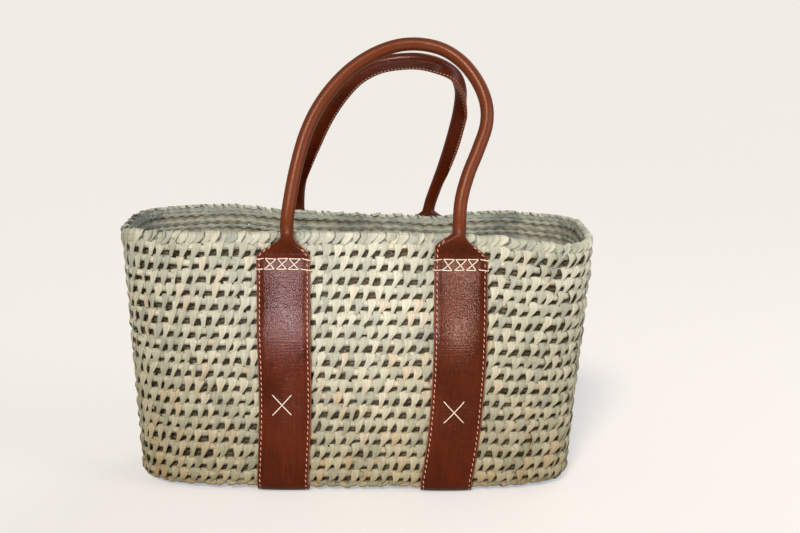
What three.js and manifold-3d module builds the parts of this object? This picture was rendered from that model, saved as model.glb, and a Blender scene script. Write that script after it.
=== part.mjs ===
// A straw tote bag: an open basket crocheted from palm leaf, carried by two rolled leather handles.
// Each handle ends in two flared tabs that fold on a line of hand lacing, at the top of a flat strap.
// The straps run down the basket's wall and meet their opposite numbers under its base.
// Millimetres, +Z up, +X along the bag, the front towards -Y, and the origin on the floor below its middle.
import * as THREE from 'three';
import { mergeVertices } from 'three/addons/utils/BufferGeometryUtils.js';
import Module from 'manifold-3d';

const wasm = await Module();
wasm.setup();
const { lerp, degToRad, smoothstep } = THREE.MathUtils;

// Basket sizes, outside
const RIM_LENGTH = 480;
const RIM_DEPTH = 176;
const BASE_LENGTH = 446;
const BASE_DEPTH = 150;
const BASKET_HEIGHT = 262;
const RIM_WAVE_HEIGHT = 10; // the soft rim rises and sags by about this much
const PLAN_POWER = 4.2; // the plan is a superellipse: 2 is an ellipse, and more is squarer
const BASE_EDGE_RADIUS = 14;
const WALL_THICKNESS = 8;
const PANEL_THICKNESS = 9;
const RIM_HEIGHT = 13;
const RIM_THICKNESS = 10;
const RIM_ROUNDING = 3;

// The rim's rise and sag, in shares of half its length and of its wave height
const FRONT_RIM_LINE = [
  [-1, 0.1], [-0.8, 0.05], [-0.5, 0.2], [0.37, 0.08], [0.58, -0.14], [0.7, -0.6], [0.9, -1.1], [1, -1],
];
const REAR_RIM_LINE = [
  [-1, 0.65], [-0.62, 0.9], [-0.3, 0.2], [0.1, -0.05], [0.37, -0.35], [0.5, 0.12], [0.67, 0.33], [0.86, 0.1],
  [1, 0],
];

// Leather sizes
const STRAP_WIDTH = 52;
const OUTER_LEATHER = 1.8;
const LINING_LEATHER = 1.6;
const TUBE_DIAMETER = 13;
const SLEEVE_WALL = 2;
const SEAM_FLANGE = 4.5; // how far the sewn seam stands out of the rolled tube
const SEAM_THICKNESS = 3;
const FLARE_LENGTH = 22; // from the fold line to the round neck
const FOLD_DEPTH = 20; // from the top of the rim down to the line that the handles fold on
const STRAP_DRAW = 140; // height below which a strap is drawn across towards its foot
const BASE_JOIN_GAP = 2; // between the strap ends under the base

// Thread sizes
const LACE_DIAMETER = 1.3;
const LACE_DROP = 3.5; // from the fold line to the top row of the lacing
const LACE_HEIGHT = 10.5;
const LACE_CROSSES = 3;
const LACE_CROSS_WIDTH = 10;
const LACE_CROSS_PITCH = 11.6;
const LACE_OVERLAP = 0.4; // how much further out the thread that crosses on top lies
const CROSS_WIDTH = 19;
const CROSS_HEIGHT = 21;

// Fits
const SEAT_GAP = 0.3; // between pieces that lie on each other
const FOLD_GAP = 0.6; // between a flared tab and the strap that it folds on
const NECK_LENGTH = 11; // a handle's neck runs this far above the rim's level before it leans in

// Where the middle of each strap is, out from the middle of the bag, at the fold line and at the base
const FRONT_LEFT_TOP_WIDTH = 70;
const FRONT_LEFT_FOOT_WIDTH = 74;
const FRONT_RIGHT_TOP_WIDTH = 102;
const FRONT_RIGHT_FOOT_WIDTH = 91;
const REAR_LEFT_TOP_WIDTH = 71;
const REAR_LEFT_FOOT_WIDTH = 72;
const REAR_RIGHT_TOP_WIDTH = 75;
const REAR_RIGHT_FOOT_WIDTH = 87;

// Where the front handle's necks stand on their tabs, out from the middle of the bag
const FRONT_LEFT_NECK_WIDTH = 65.5;
const FRONT_RIGHT_NECK_WIDTH = 99.5;

// Heights of the cross-stitches above the floor
const LEFT_CROSS_HEIGHT = 93;
const RIGHT_CROSS_HEIGHT = 86;

// How far the handles rise above the fold line, and how far they lean in at the top
const FRONT_RISE_HEIGHT = 201;
const REAR_RISE_HEIGHT = 187;
const LEAN_DEPTH = 65;

const STRAPS = {
  front_left: {
    top: -FRONT_LEFT_TOP_WIDTH,
    foot: -FRONT_LEFT_FOOT_WIDTH,
    neck: -FRONT_LEFT_NECK_WIDTH,
    crossHeight: LEFT_CROSS_HEIGHT,
  },
  front_right: {
    top: FRONT_RIGHT_TOP_WIDTH,
    foot: FRONT_RIGHT_FOOT_WIDTH,
    neck: FRONT_RIGHT_NECK_WIDTH,
    crossHeight: RIGHT_CROSS_HEIGHT,
  },
  rear_left: {
    top: -REAR_LEFT_TOP_WIDTH,
    foot: -REAR_LEFT_FOOT_WIDTH,
    neck: -REAR_LEFT_TOP_WIDTH,
    crossHeight: LEFT_CROSS_HEIGHT,
  },
  rear_right: {
    top: REAR_RIGHT_TOP_WIDTH,
    foot: REAR_RIGHT_FOOT_WIDTH,
    neck: REAR_RIGHT_TOP_WIDTH,
    crossHeight: RIGHT_CROSS_HEIGHT,
  },
};

// Each handle's run from the left neck to the right, in shares of the way across and of the rise above
// the rim. The seam's turn about the tube, in degrees, goes by share of the run.
const HANDLES = {
  front: {
    rise: FRONT_RISE_HEIGHT,
    run: [
      [0, 0], [0.02, 0.15], [0.055, 0.33], [0.1, 0.49], [0.165, 0.63], [0.255, 0.755], [0.37, 0.865],
      [0.51, 0.95], [0.65, 0.995], [0.78, 1], [0.91, 0.97], [1.02, 0.9], [1.11, 0.79], [1.16, 0.665],
      [1.16, 0.55], [1.11, 0.41], [1.05, 0.27], [1.01, 0.13], [1, 0],
    ],
    seamTurns: [[0, -90], [1, -90]],
  },
  rear: {
    rise: REAR_RISE_HEIGHT,
    run: [
      [0, 0], [0.01, 0.1], [0.05, 0.26], [0.13, 0.455], [0.23, 0.635], [0.335, 0.775], [0.46, 0.895],
      [0.61, 0.97], [0.78, 1], [0.93, 1], [1.07, 0.965], [1.17, 0.9], [1.215, 0.8], [1.21, 0.665],
      [1.18, 0.52], [1.14, 0.37], [1.095, 0.225], [1.045, 0.085], [1.015, 0],
    ],
    seamTurns: [[0, -90], [0.12, -10], [0.58, -10], [0.74, -150], [0.9, -150], [1, -90]],
  },
};

// Facets
const PLAN_POINTS = 64;
const TUBE_STATIONS = 40;
const FLARE_STATIONS = 6;
const STRAP_WALL_STATIONS = 8;
const EDGE_STATIONS = 5;
const CORE_SIDES = 8;
const LACE_SIDES = 6;

// Sizes that follow from those above
const STRAP_STACK = SEAT_GAP + LINING_LEATHER + SEAT_GAP + OUTER_LEATHER;
const BASE_UNDERSIDE = STRAP_STACK;
const EDGE_TOP = BASE_UNDERSIDE + BASE_EDGE_RADIUS;
const RIM_TOP = BASE_UNDERSIDE + BASKET_HEIGHT;
const FOLD_HEIGHT = RIM_TOP - FOLD_DEPTH;
const TAB_THICKNESS = STRAP_STACK - SEAT_GAP;
const TUBE_RADIUS = TUBE_DIAMETER / 2;
const BORE_RADIUS = TUBE_RADIUS - SLEEVE_WALL;
const LACE_RADIUS = LACE_DIAMETER / 2;
const LACE_OFFSET = STRAP_STACK + SEAT_GAP + LACE_RADIUS;
const OUT = new THREE.Vector3(0, 1, 0); // out of the bag, on the side being made

const straw = new THREE.MeshStandardMaterial({ color: 0xcfc8ac, roughness: 0.75, metalness: 0 });
const leather = new THREE.MeshStandardMaterial({ color: 0x7a3a20, roughness: 0.42, metalness: 0 });
const liningLeather = new THREE.MeshStandardMaterial({ color: 0x5c2c1a, roughness: 0.6, metalness: 0 });
const coreCord = new THREE.MeshStandardMaterial({ color: 0xb89c6c, roughness: 0.9, metalness: 0 });
const lace = new THREE.MeshStandardMaterial({ color: 0xe6d6ae, roughness: 0.7, metalness: 0 });

// The basket's surface

// Half the outside length and depth at a height above the base's underside.
function halfSizes(height) {
  const share = height / BASKET_HEIGHT;
  return [lerp(BASE_LENGTH, RIM_LENGTH, share) / 2, lerp(BASE_DEPTH, RIM_DEPTH, share) / 2];
}

// The rim's rise at a share of half its length, eased from stop to stop.
function riseOnLine(line, share) {
  const next = Math.max(1, line.findIndex(([place]) => place >= share));
  const [from, low] = line[next - 1];
  const [to, high] = line[next];
  return RIM_WAVE_HEIGHT * lerp(low, high, smoothstep(share, from, to));
}

// The rim rises and sags along the bag, and every height below it is stretched in proportion. The place is
// given in shares of the half length and half depth.
function stretchAt(along, across) {
  const front = riseOnLine(FRONT_RIM_LINE, along);
  const rear = riseOnLine(REAR_RIM_LINE, along);
  return 1 + lerp(front, rear, smoothstep(across, -1, 1)) / BASKET_HEIGHT;
}

// How far out the wall's outside is at x, at a height above the floor, where the straps lie.
function wallOut(x, z) {
  const [halfLength, halfDepth] = halfSizes(z - BASE_UNDERSIDE);
  return halfDepth * (1 - Math.abs(x / halfLength) ** PLAN_POWER) ** (1 / PLAN_POWER);
}

// The wall's lean at x, as the angle between its outside and the vertical.
function wallLean(x) {
  const spread = wallOut(x, FOLD_HEIGHT) - wallOut(x, BASE_EDGE_RADIUS);
  return Math.atan(spread / (FOLD_HEIGHT - BASE_EDGE_RADIUS));
}

// A point off the wall's outside, with +Y pointing out of the bag on either side.
function offWall(x, z, offset) {
  const step = 1;
  const slopeX = (wallOut(x + step, z) - wallOut(x - step, z)) / (2 * step);
  const slopeZ = (wallOut(x, z + step) - wallOut(x, z - step)) / (2 * step);
  const normal = new THREE.Vector3(-slopeX, 1, -slopeZ).normalize();
  return new THREE.Vector3(x, wallOut(x, z), z).addScaledVector(normal, offset);
}

// One ring of the basket, drawn in from the outside by an inset. Its rise is that of the outside beside it.
function planRing(inset, height) {
  const [halfLength, halfDepth] = halfSizes(height);
  return Array.from({ length: PLAN_POINTS }, (_, i) => {
    const angle = (2 * Math.PI * i) / PLAN_POINTS;
    const cos = Math.cos(angle);
    const sin = Math.sin(angle);
    const along = Math.sign(cos) * Math.abs(cos) ** (2 / PLAN_POWER);
    const across = Math.sign(sin) * Math.abs(sin) ** (2 / PLAN_POWER);
    const z = BASE_UNDERSIDE + height * stretchAt(along, across);
    return new THREE.Vector3((halfLength - inset) * along, (halfDepth - inset) * across, z);
  });
}

// Shared shapes

// A closed skin over rings of equal counts: a ring of rings joins its last to its first, and a bar gets
// flat ends.
function loft(rings, isRing) {
  const count = rings[0].length;
  const index = [];
  const spans = isRing ? rings.length : rings.length - 1;
  for (let r = 0; r < spans; r++) {
    const here = r * count;
    const next = ((r + 1) % rings.length) * count;
    for (let i = 0; i < count; i++) {
      const j = (i + 1) % count;
      index.push(here + i, here + j, next + j, here + i, next + j, next + i);
    }
  }
  const last = (rings.length - 1) * count;
  for (let i = 1; i < count - 1 && !isRing; i++) {
    index.push(0, i + 1, i, last, last + i, last + i + 1);
  }
  return new THREE.BufferGeometry().setFromPoints(rings.flat()).setIndex(index);
}

function solidOf(geometry) {
  geometry.deleteAttribute('normal');
  geometry.deleteAttribute('uv');
  const merged = mergeVertices(geometry, 1e-4);
  return new wasm.Manifold(
    new wasm.Mesh({
      numProp: 3,
      vertProperties: merged.attributes.position.array,
      triVerts: new Uint32Array(merged.index.array),
    }),
  );
}

function geometryOf(solid) {
  const { vertProperties, triVerts } = solid.getMesh();
  return new THREE.BufferGeometry()
    .setAttribute('position', new THREE.BufferAttribute(vertProperties, 3))
    .setIndex(new THREE.BufferAttribute(triVerts, 1));
}

// Places a flat section at a point, square to a tangent, with its second axis as near the reference as
// can be.
function placeSection(section, centre, tangent, reference) {
  const first = new THREE.Vector3().crossVectors(reference, tangent).normalize();
  const second = new THREE.Vector3().crossVectors(tangent, first).normalize();
  return section.map((p) => centre.clone().addScaledVector(first, p.x).addScaledVector(second, p.y));
}

function roundSection(radius, sides) {
  return Array.from({ length: sides }, (_, i) => {
    const angle = (2 * Math.PI * i) / sides;
    return new THREE.Vector2(radius * Math.cos(angle), radius * Math.sin(angle));
  });
}

// A thread that runs through points in one level plane.
function threadRow(points) {
  const section = roundSection(LACE_RADIUS, LACE_SIDES);
  const rings = points.map((point, i) => {
    const before = points[Math.max(0, i - 1)];
    const after = points[Math.min(points.length - 1, i + 1)];
    const tangent = new THREE.Vector3().subVectors(after, before).normalize();
    return placeSection(section, point, tangent, new THREE.Vector3(0, 0, 1));
  });
  return solidOf(loft(rings, false));
}

// A straight thread from a to b.
function threadRun(a, b) {
  const along = new THREE.Vector3().subVectors(b, a);
  const geometry = new THREE.CylinderGeometry(LACE_RADIUS, LACE_RADIUS, along.length(), LACE_SIDES);
  const turn = new THREE.Quaternion().setFromUnitVectors(new THREE.Vector3(0, 1, 0), along.normalize());
  const middle = new THREE.Vector3().addVectors(a, b).divideScalar(2);
  return solidOf(geometry.applyQuaternion(turn).translate(middle.x, middle.y, middle.z));
}

// Two threads that cross between four corners, one of them over the other.
function threadCross(at, left, right, high, low) {
  const over = LACE_OFFSET + LACE_OVERLAP;
  return [
    threadRun(at(left, high, LACE_OFFSET), at(right, low, LACE_OFFSET)),
    threadRun(at(right, high, over), at(left, low, over)),
  ];
}

function joined(solids) {
  return geometryOf(solids.reduce((body, solid) => body.add(solid)));
}

function piece(name, geometry, material) {
  const mesh = new THREE.Mesh(geometry, material);
  mesh.name = name;
  return mesh;
}

// Basket pieces

function basePanel() {
  const outline = planRing(BASE_EDGE_RADIUS + SEAT_GAP, 0).map((p) => new THREE.Vector2(p.x, p.y));
  const plate = { depth: PANEL_THICKNESS, bevelEnabled: false };
  return new THREE.ExtrudeGeometry(new THREE.Shape(outline), plate).translate(0, 0, BASE_UNDERSIDE);
}

// The wall turns up out of the base on a rounded edge and ends under the rim border.
function basketWall() {
  const top = BASKET_HEIGHT - RIM_HEIGHT;
  const profile = [];
  for (let i = 0; i <= EDGE_STATIONS; i++) {
    const turn = ((Math.PI / 2) * i) / EDGE_STATIONS;
    profile.push([BASE_EDGE_RADIUS * (1 - Math.sin(turn)), BASE_EDGE_RADIUS * (1 - Math.cos(turn))]);
  }
  const insideFoot = PANEL_THICKNESS + BASE_EDGE_RADIUS - WALL_THICKNESS;
  profile.push([0, top], [WALL_THICKNESS, top]);
  profile.push([WALL_THICKNESS, insideFoot], [BASE_EDGE_RADIUS, PANEL_THICKNESS]);
  return loft(profile.map(([inset, height]) => planRing(inset, height)), true);
}

// The border of slanted stitches along the top edge, flush with the wall outside.
function rimBorder() {
  const foot = BASKET_HEIGHT - RIM_HEIGHT + SEAT_GAP;
  const shoulder = BASKET_HEIGHT - RIM_ROUNDING;
  const profile = [
    [0, foot], [0, shoulder], [RIM_ROUNDING, BASKET_HEIGHT], [RIM_THICKNESS - RIM_ROUNDING, BASKET_HEIGHT],
    [RIM_THICKNESS, shoulder], [RIM_THICKNESS, foot],
  ];
  return loft(profile.map(([inset, height]) => planRing(inset, height)), true);
}

// Straps and their linings

// The middle of a strap at a height: straight at the top, and drawn across towards its foot.
function strapMiddle({ top, foot }, z) {
  const fromFoot = Math.min(1, (z - EDGE_TOP) / (STRAP_DRAW - BASE_EDGE_RADIUS));
  return lerp(top, foot, (1 - fromFoot) ** 2);
}

// One layer of a strap, from the fold line down the wall, round the base's edge and under it to the middle.
function strapLayer(strap, innerOffset, outerOffset) {
  const halfWidth = STRAP_WIDTH / 2;
  const top = FOLD_HEIGHT - FOLD_GAP / 2;
  const stations = [];
  for (let i = 0; i < STRAP_WALL_STATIONS; i++) {
    const z = lerp(top, EDGE_TOP, i / (STRAP_WALL_STATIONS - 1));
    const middle = strapMiddle(strap, z);
    stations.push((across, offset) => offWall(middle + across, z, offset));
  }
  for (let i = 1; i <= EDGE_STATIONS; i++) {
    const turn = ((Math.PI / 2) * i) / EDGE_STATIONS;
    stations.push((across, offset) => {
      const x = strap.foot + across;
      const reach = BASE_EDGE_RADIUS + offset;
      const out = wallOut(x, EDGE_TOP) - BASE_EDGE_RADIUS + reach * Math.cos(turn);
      return new THREE.Vector3(x, out, EDGE_TOP - reach * Math.sin(turn));
    });
  }
  stations.push((across, offset) => {
    return new THREE.Vector3(strap.foot + across, BASE_JOIN_GAP / 2, BASE_UNDERSIDE - offset);
  });
  const columns = [-halfWidth, 0, halfWidth];
  const rings = stations.map((place) => [
    ...columns.map((across) => place(across, outerOffset)),
    ...columns.toReversed().map((across) => place(across, innerOffset)),
  ]);
  return loft(rings, false);
}

const strapOuter = (strap) => strapLayer(strap, STRAP_STACK - OUTER_LEATHER, STRAP_STACK);
const strapLining = (strap) => strapLayer(strap, SEAT_GAP, SEAT_GAP + LINING_LEATHER);

// Hand stitching

// The lacing that holds a strap's top: two rows across, which turn in behind its edges, with crosses
// between.
function strapLacing(strap) {
  const topRow = FOLD_HEIGHT - LACE_DROP;
  const bottomRow = topRow - LACE_HEIGHT;
  const edge = STRAP_WIDTH / 2 + SEAT_GAP + LACE_RADIUS;
  const at = (across, z, offset) => offWall(strapMiddle(strap, z) + across, z, offset);
  const threads = [topRow, bottomRow].map((z) => {
    const onTop = [-edge, -edge / 2, 0, edge / 2, edge].map((across) => at(across, z, LACE_OFFSET));
    return threadRow([at(-edge, z, SEAT_GAP + LACE_RADIUS), ...onTop, at(edge, z, SEAT_GAP + LACE_RADIUS)]);
  });
  for (let i = 0; i < LACE_CROSSES; i++) {
    const left = (i - (LACE_CROSSES - 1) / 2) * LACE_CROSS_PITCH - LACE_CROSS_WIDTH / 2;
    threads.push(...threadCross(at, left, left + LACE_CROSS_WIDTH, topRow, bottomRow));
  }
  return joined(threads);
}

// The single cross that holds a strap lower down.
function strapCross(strap) {
  const high = strap.crossHeight + CROSS_HEIGHT / 2;
  const low = strap.crossHeight - CROSS_HEIGHT / 2;
  const middle = strapMiddle(strap, strap.crossHeight);
  const at = (across, z, offset) => offWall(middle + across, z, offset);
  return joined(threadCross(at, -CROSS_WIDTH / 2, CROSS_WIDTH / 2, high, low));
}

// Handles

// A tube's section, 12 points round from the seam, which points along the first axis. The sleeve's outside
// carries the seam's flange there, and the bore is round.
function tubeSection(radius, flange) {
  const half = Math.min(SEAM_THICKNESS / 2, radius / 2);
  const root = Math.sqrt(radius ** 2 - half ** 2);
  const round = [40, 80, 120, 160, 200, 240, 280, 320].map((degrees) => {
    const angle = degToRad(degrees);
    return new THREE.Vector2(radius * Math.cos(angle), radius * Math.sin(angle));
  });
  const tip = (side) => new THREE.Vector2(root + flange, side * half * 0.6);
  const base = (side) => new THREE.Vector2(root, side * half);
  return [tip(1), base(1), ...round, base(-1), tip(-1)];
}

// The same 12 points pressed flat, as at a tab's end, with its faces at low and high.
function flatSection(halfWidth, low, high) {
  const across = [0.02, 0.08, 0.5, 1];
  const near = across.map((share) => new THREE.Vector2(halfWidth * share, low));
  const far = [1, 0.5].map((share) => new THREE.Vector2(halfWidth * share, high));
  const half = [...near, ...far];
  return [...half, ...half.toReversed().map((p) => new THREE.Vector2(-p.x, p.y))];
}

function seamTurnAt(turns, share) {
  const after = Math.max(1, turns.findIndex(([at]) => at >= share));
  const [[at0, turn0], [at1, turn1]] = [turns[after - 1], turns[after]];
  return degToRad(lerp(turn0, turn1, (share - at0) / (at1 - at0)));
}

// A handle's foot on the wall: how its tab and neck rise along the wall from the fold line.
function handleFoot({ top, neck }) {
  const nearest = Math.max(0, Math.abs(top) - STRAP_WIDTH / 2);
  const up = new THREE.Vector3(0, Math.sin(wallLean(top)), Math.cos(wallLean(top)));
  const start = FOLD_HEIGHT + FOLD_GAP / 2;
  const place = (x, z, halfThickness) => {
    return new THREE.Vector3(x, wallOut(nearest, z) + SEAT_GAP + halfThickness, z);
  };
  return { top, neck, up, start, place };
}

// The line that a handle's tube follows, from its left neck over the top to its right neck.
function tubeCurve({ rise, run }, left, right) {
  const rimHeight = RIM_TOP + NECK_LENGTH;
  const freeRise = FOLD_HEIGHT + rise - rimHeight;
  const foot = (side) => side.place(side.neck, side.start + FLARE_LENGTH, TUBE_RADIUS);
  const out = left.place(left.neck, rimHeight, TUBE_RADIUS).y;
  const points = run.map(([across, up]) => {
    const x = lerp(left.neck, right.neck, across);
    return new THREE.Vector3(x, out - LEAN_DEPTH * up ** 1.25, rimHeight + freeRise * up);
  });
  const stops = [foot(left), ...points, foot(right)];
  return new THREE.CatmullRomCurve3(stops, false, 'centripetal');
}

// The rings of a sleeve's outside or bore: a tab that opens out of a flat end, the tube, and the other tab.
function sleeveRings(handle, curve, feet, radius, flange, flat) {
  const turned = (section, angle) => section.map((p) => p.clone().rotateAround(new THREE.Vector2(), angle));
  const rings = [];
  for (let i = 0; i <= TUBE_STATIONS; i++) {
    const share = i / TUBE_STATIONS;
    const raised = flange * smoothstep(Math.min(share, 1 - share), 0.04, 0.12);
    const section = turned(tubeSection(radius, raised), seamTurnAt(handle.seamTurns, share));
    rings.push(placeSection(section, curve.getPointAt(share), curve.getTangentAt(share), OUT));
  }
  const neckSection = turned(tubeSection(radius, 0), -Math.PI / 2);
  const tabs = feet.map((foot, end) => {
    const tangent = foot.up.clone().multiplyScalar(end === 0 ? 1 : -1);
    return Array.from({ length: FLARE_STATIONS }, (_, i) => {
      const share = i / FLARE_STATIONS;
      const narrowed = smoothstep(share, 0.09, 0.865);
      const filled = smoothstep(share, 0, 1);
      const section = flat.map((p, k) => {
        const neck = neckSection[k];
        return new THREE.Vector2(lerp(p.x, neck.x, narrowed), lerp(p.y, neck.y, filled));
      });
      const halfThickness = lerp(TAB_THICKNESS / 2, TUBE_RADIUS, filled);
      const x = lerp(foot.top, foot.neck, narrowed);
      const centre = foot.place(x, foot.start + FLARE_LENGTH * share, halfThickness);
      return placeSection(section, centre, tangent, OUT);
    });
  });
  return [...tabs[0], ...rings, ...tabs[1].toReversed()];
}

function handleSleeve(handle, curve, feet) {
  const half = TAB_THICKNESS / 2;
  const slitLow = -half + LINING_LEATHER;
  const slitHalfWidth = STRAP_WIDTH / 2 - 2 * SLEEVE_WALL;
  const tabEnd = flatSection(STRAP_WIDTH / 2, -half, half);
  const slit = flatSection(slitHalfWidth, slitLow, slitLow + SEAT_GAP);
  const outside = sleeveRings(handle, curve, feet, TUBE_RADIUS, SEAM_FLANGE, tabEnd);
  const bore = sleeveRings(handle, curve, feet, BORE_RADIUS, 0, slit);
  return loft([...outside, ...bore.toReversed()], true);
}

// The cord that the sleeve is rolled on ends at the two necks.
function handleCore(curve) {
  const radius = BORE_RADIUS * Math.cos(degToRad(20)) - SEAT_GAP;
  const section = roundSection(radius, CORE_SIDES);
  const rings = [];
  for (let i = 0; i <= TUBE_STATIONS; i++) {
    const share = i / TUBE_STATIONS;
    rings.push(placeSection(section, curve.getPointAt(share), curve.getTangentAt(share), OUT));
  }
  return loft(rings, false);
}

// Assembly

// The leather of one side, made with +Y pointing out of the bag.
function sideGroup(side) {
  const group = new THREE.Group();
  for (const end of ['left', 'right']) {
    const name = `${side}_${end}`;
    const strap = STRAPS[name];
    group.add(
      piece(`${name}_strap`, strapOuter(strap), leather),
      piece(`${name}_lining`, strapLining(strap), liningLeather),
      piece(`${name}_lacing`, strapLacing(strap), lace),
      piece(`${name}_cross`, strapCross(strap), lace),
    );
  }
  const handle = HANDLES[side];
  const feet = ['left', 'right'].map((end) => handleFoot(STRAPS[`${side}_${end}`]));
  const curve = tubeCurve(handle, ...feet);
  group.add(
    piece(`${side}_handle_sleeve`, handleSleeve(handle, curve, feet), leather),
    piece(`${side}_handle_core`, handleCore(curve), coreCord),
  );
  return group;
}

const bag = new THREE.Group();
bag.name = 'straw_tote_bag';
bag.add(
  piece('base_panel', basePanel(), straw),
  piece('wall', basketWall(), straw),
  piece('rim_border', rimBorder(), straw),
);
const front = sideGroup('front');
front.scale.y = -1;
bag.add(front, sideGroup('rear'));

export default bag;
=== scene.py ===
# %% [markdown]
# # A straw tote bag, dressed over its solid frame
# The bag is an open basket that was crocheted from strips of palm leaf, with two rolled leather handles.
# The frame gives every solid its place. This lesson models what the eye sees on them: stitch after stitch
# of palm leaf, oiled leather with sewn edges, and cream lacing. All of it stays in the frame's own
# metres.

# %% Load the frame
import math

import bpy
import numpy as np
from mathutils import Matrix, Vector


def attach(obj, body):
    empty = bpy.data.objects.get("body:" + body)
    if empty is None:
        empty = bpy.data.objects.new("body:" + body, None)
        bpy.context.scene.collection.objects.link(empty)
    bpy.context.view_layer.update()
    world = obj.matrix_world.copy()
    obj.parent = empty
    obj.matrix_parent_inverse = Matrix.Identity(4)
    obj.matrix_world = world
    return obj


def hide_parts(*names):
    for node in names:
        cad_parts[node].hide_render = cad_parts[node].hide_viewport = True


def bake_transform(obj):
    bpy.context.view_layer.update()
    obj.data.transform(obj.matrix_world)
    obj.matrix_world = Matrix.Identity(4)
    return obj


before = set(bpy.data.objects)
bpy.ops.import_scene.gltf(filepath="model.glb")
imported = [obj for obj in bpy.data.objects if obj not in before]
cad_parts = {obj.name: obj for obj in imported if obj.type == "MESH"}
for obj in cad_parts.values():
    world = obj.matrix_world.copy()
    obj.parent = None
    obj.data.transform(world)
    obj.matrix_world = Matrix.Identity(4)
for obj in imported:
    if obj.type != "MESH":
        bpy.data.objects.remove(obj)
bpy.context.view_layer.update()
bpy.ops.object.select_all(action="DESELECT")
MM = 0.001
print("solids in the frame:", len(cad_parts))

# %% [markdown]
# ## The camera
# The photograph was taken from in front and a little above, with a normal lens. A camera needs a place
# and three axes: right, up and backwards. Writing the axes as the columns of a matrix also allows the
# slight roll that the picture has, which a camera pointed at a target would lose.

# %% Camera
CAMERA_PLACE = Vector((41.5, -1147.9, 420.1)) * MM
CAMERA_PITCH, CAMERA_YAW, CAMERA_ROLL = math.radians(9.93), math.radians(0.08), math.radians(0.33)
LENS, SENSOR_WIDTH = 50, 36

forward = Vector((
    math.sin(CAMERA_YAW) * math.cos(CAMERA_PITCH),
    math.cos(CAMERA_YAW) * math.cos(CAMERA_PITCH),
    -math.sin(CAMERA_PITCH),
))
level_right = Vector((math.cos(CAMERA_YAW), -math.sin(CAMERA_YAW), 0))
level_up = level_right.cross(forward)
right = math.cos(CAMERA_ROLL) * level_right + math.sin(CAMERA_ROLL) * level_up
up = right.cross(forward)
axes = Matrix((right, up, -forward)).transposed().to_4x4()
bpy.ops.object.camera_add()
camera = bpy.context.object
camera.name = "camera"
camera.data.lens = LENS
camera.data.sensor_width = SENSOR_WIDTH
camera.matrix_world = Matrix.Translation(CAMERA_PLACE) @ axes
bpy.context.scene.camera = camera
print("camera at", tuple(round(v, 3) for v in camera.location))

# %% [markdown]
# ## The basket as a surface
# Every palm-leaf stitch has to lie on a wall that is curved in plan, leans outwards and turns under at
# the base. Its soft rim rises and sags along the bag. Bending each stitch by hand would never end. So the
# wall is written down once as a surface: a ring in plan, which is a superellipse, and a profile that runs
# down the wall, round the edge and in under the base. A flat strip of stitches is then wrapped onto it,
# as cloth is wrapped on a tailor's dummy.

# %% Basket sizes, in millimetres
RIM_LENGTH, RIM_DEPTH = 480, 176
BASE_LENGTH, BASE_DEPTH = 446, 157
BASKET_HEIGHT, BASE_UNDERSIDE = 262, 4
PLAN_POWER = 4.2
EDGE_RADIUS = 10
FOOT_SHIFT = -4
DEPTH_SLOPE = (RIM_DEPTH - BASE_DEPTH) / 2 / BASKET_HEIGHT
EXTRA_LENGTH_SLOPE = (RIM_LENGTH - BASE_LENGTH) / 2 / BASKET_HEIGHT - DEPTH_SLOPE

# %% The rim's rise and sag, in shares of half its length and of the wave's height
RIM_WAVE_HEIGHT = 10
FRONT_RIM_LINE = [
    (-1, 0.1), (-0.8, 0.05), (-0.5, 0.2), (0.37, 0.08), (0.58, -0.14), (0.7, -0.6), (0.9, -1.1), (1, -1),
]
REAR_RIM_LINE = [
    (-1, 0.65), (-0.62, 0.9), (-0.3, 0.2), (0.1, -0.05), (0.37, -0.35), (0.5, 0.12), (0.67, 0.33),
    (0.86, 0.1), (1, 0),
]


def smoothstep(value, low, high):
    t = np.clip((value - low) / (high - low), 0, 1)
    return t * t * (3 - 2 * t)


def rise_on_line(line, share):
    """The rim's rise at a share of half its length, eased from stop to stop."""
    places, rises = np.array(line).T
    after = np.clip(np.searchsorted(places, share), 1, len(places) - 1)
    eased = smoothstep(share, places[after - 1], places[after])
    return RIM_WAVE_HEIGHT * (rises[after - 1] + (rises[after] - rises[after - 1]) * eased)


def stretch_at(along, across):
    """How heights stretch with the rim's rise, at a place in shares of half the length and depth."""
    front, rear = rise_on_line(FRONT_RIM_LINE, along), rise_on_line(REAR_RIM_LINE, along)
    return 1 + (front + (rear - front) * smoothstep(across, -1, 1)) / BASKET_HEIGHT


# %% The profile, from the rim down the wall, round the edge and in under the base
WALL_SAMPLES, EDGE_SAMPLES, BASE_SAMPLES = 60, 25, 40
wall_heights = np.linspace(BASKET_HEIGHT, EDGE_RADIUS, WALL_SAMPLES)
edge_turns = np.linspace(0, math.pi / 2, EDGE_SAMPLES)[1:]
edge_middle = DEPTH_SLOPE * EDGE_RADIUS - EDGE_RADIUS
edge_outs = edge_middle + EDGE_RADIUS * np.cos(edge_turns)
under_outs = np.linspace(edge_middle, -BASE_DEPTH / 2, BASE_SAMPLES)[1:]
profile_out = np.concatenate([wall_heights * DEPTH_SLOPE, edge_outs, under_outs])
profile_height = np.concatenate([wall_heights, EDGE_RADIUS * (1 - np.sin(edge_turns)), 0 * under_outs])
normal_out = np.concatenate([0 * wall_heights + 1, np.cos(edge_turns), 0 * under_outs])
normal_up = np.concatenate([0 * wall_heights - DEPTH_SLOPE, -np.sin(edge_turns), 0 * under_outs - 1])
steps = np.hypot(np.diff(profile_out), np.diff(profile_height))
profile_down = np.concatenate([[0], np.cumsum(steps)])
print("profile from rim to base middle: %.0f mm" % profile_down[-1])

# %% A ring of the basket, and the wrapping of flat work onto it
RING_SAMPLES = 4001
FOOT_SHIFT_POWER = 1.5


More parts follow.
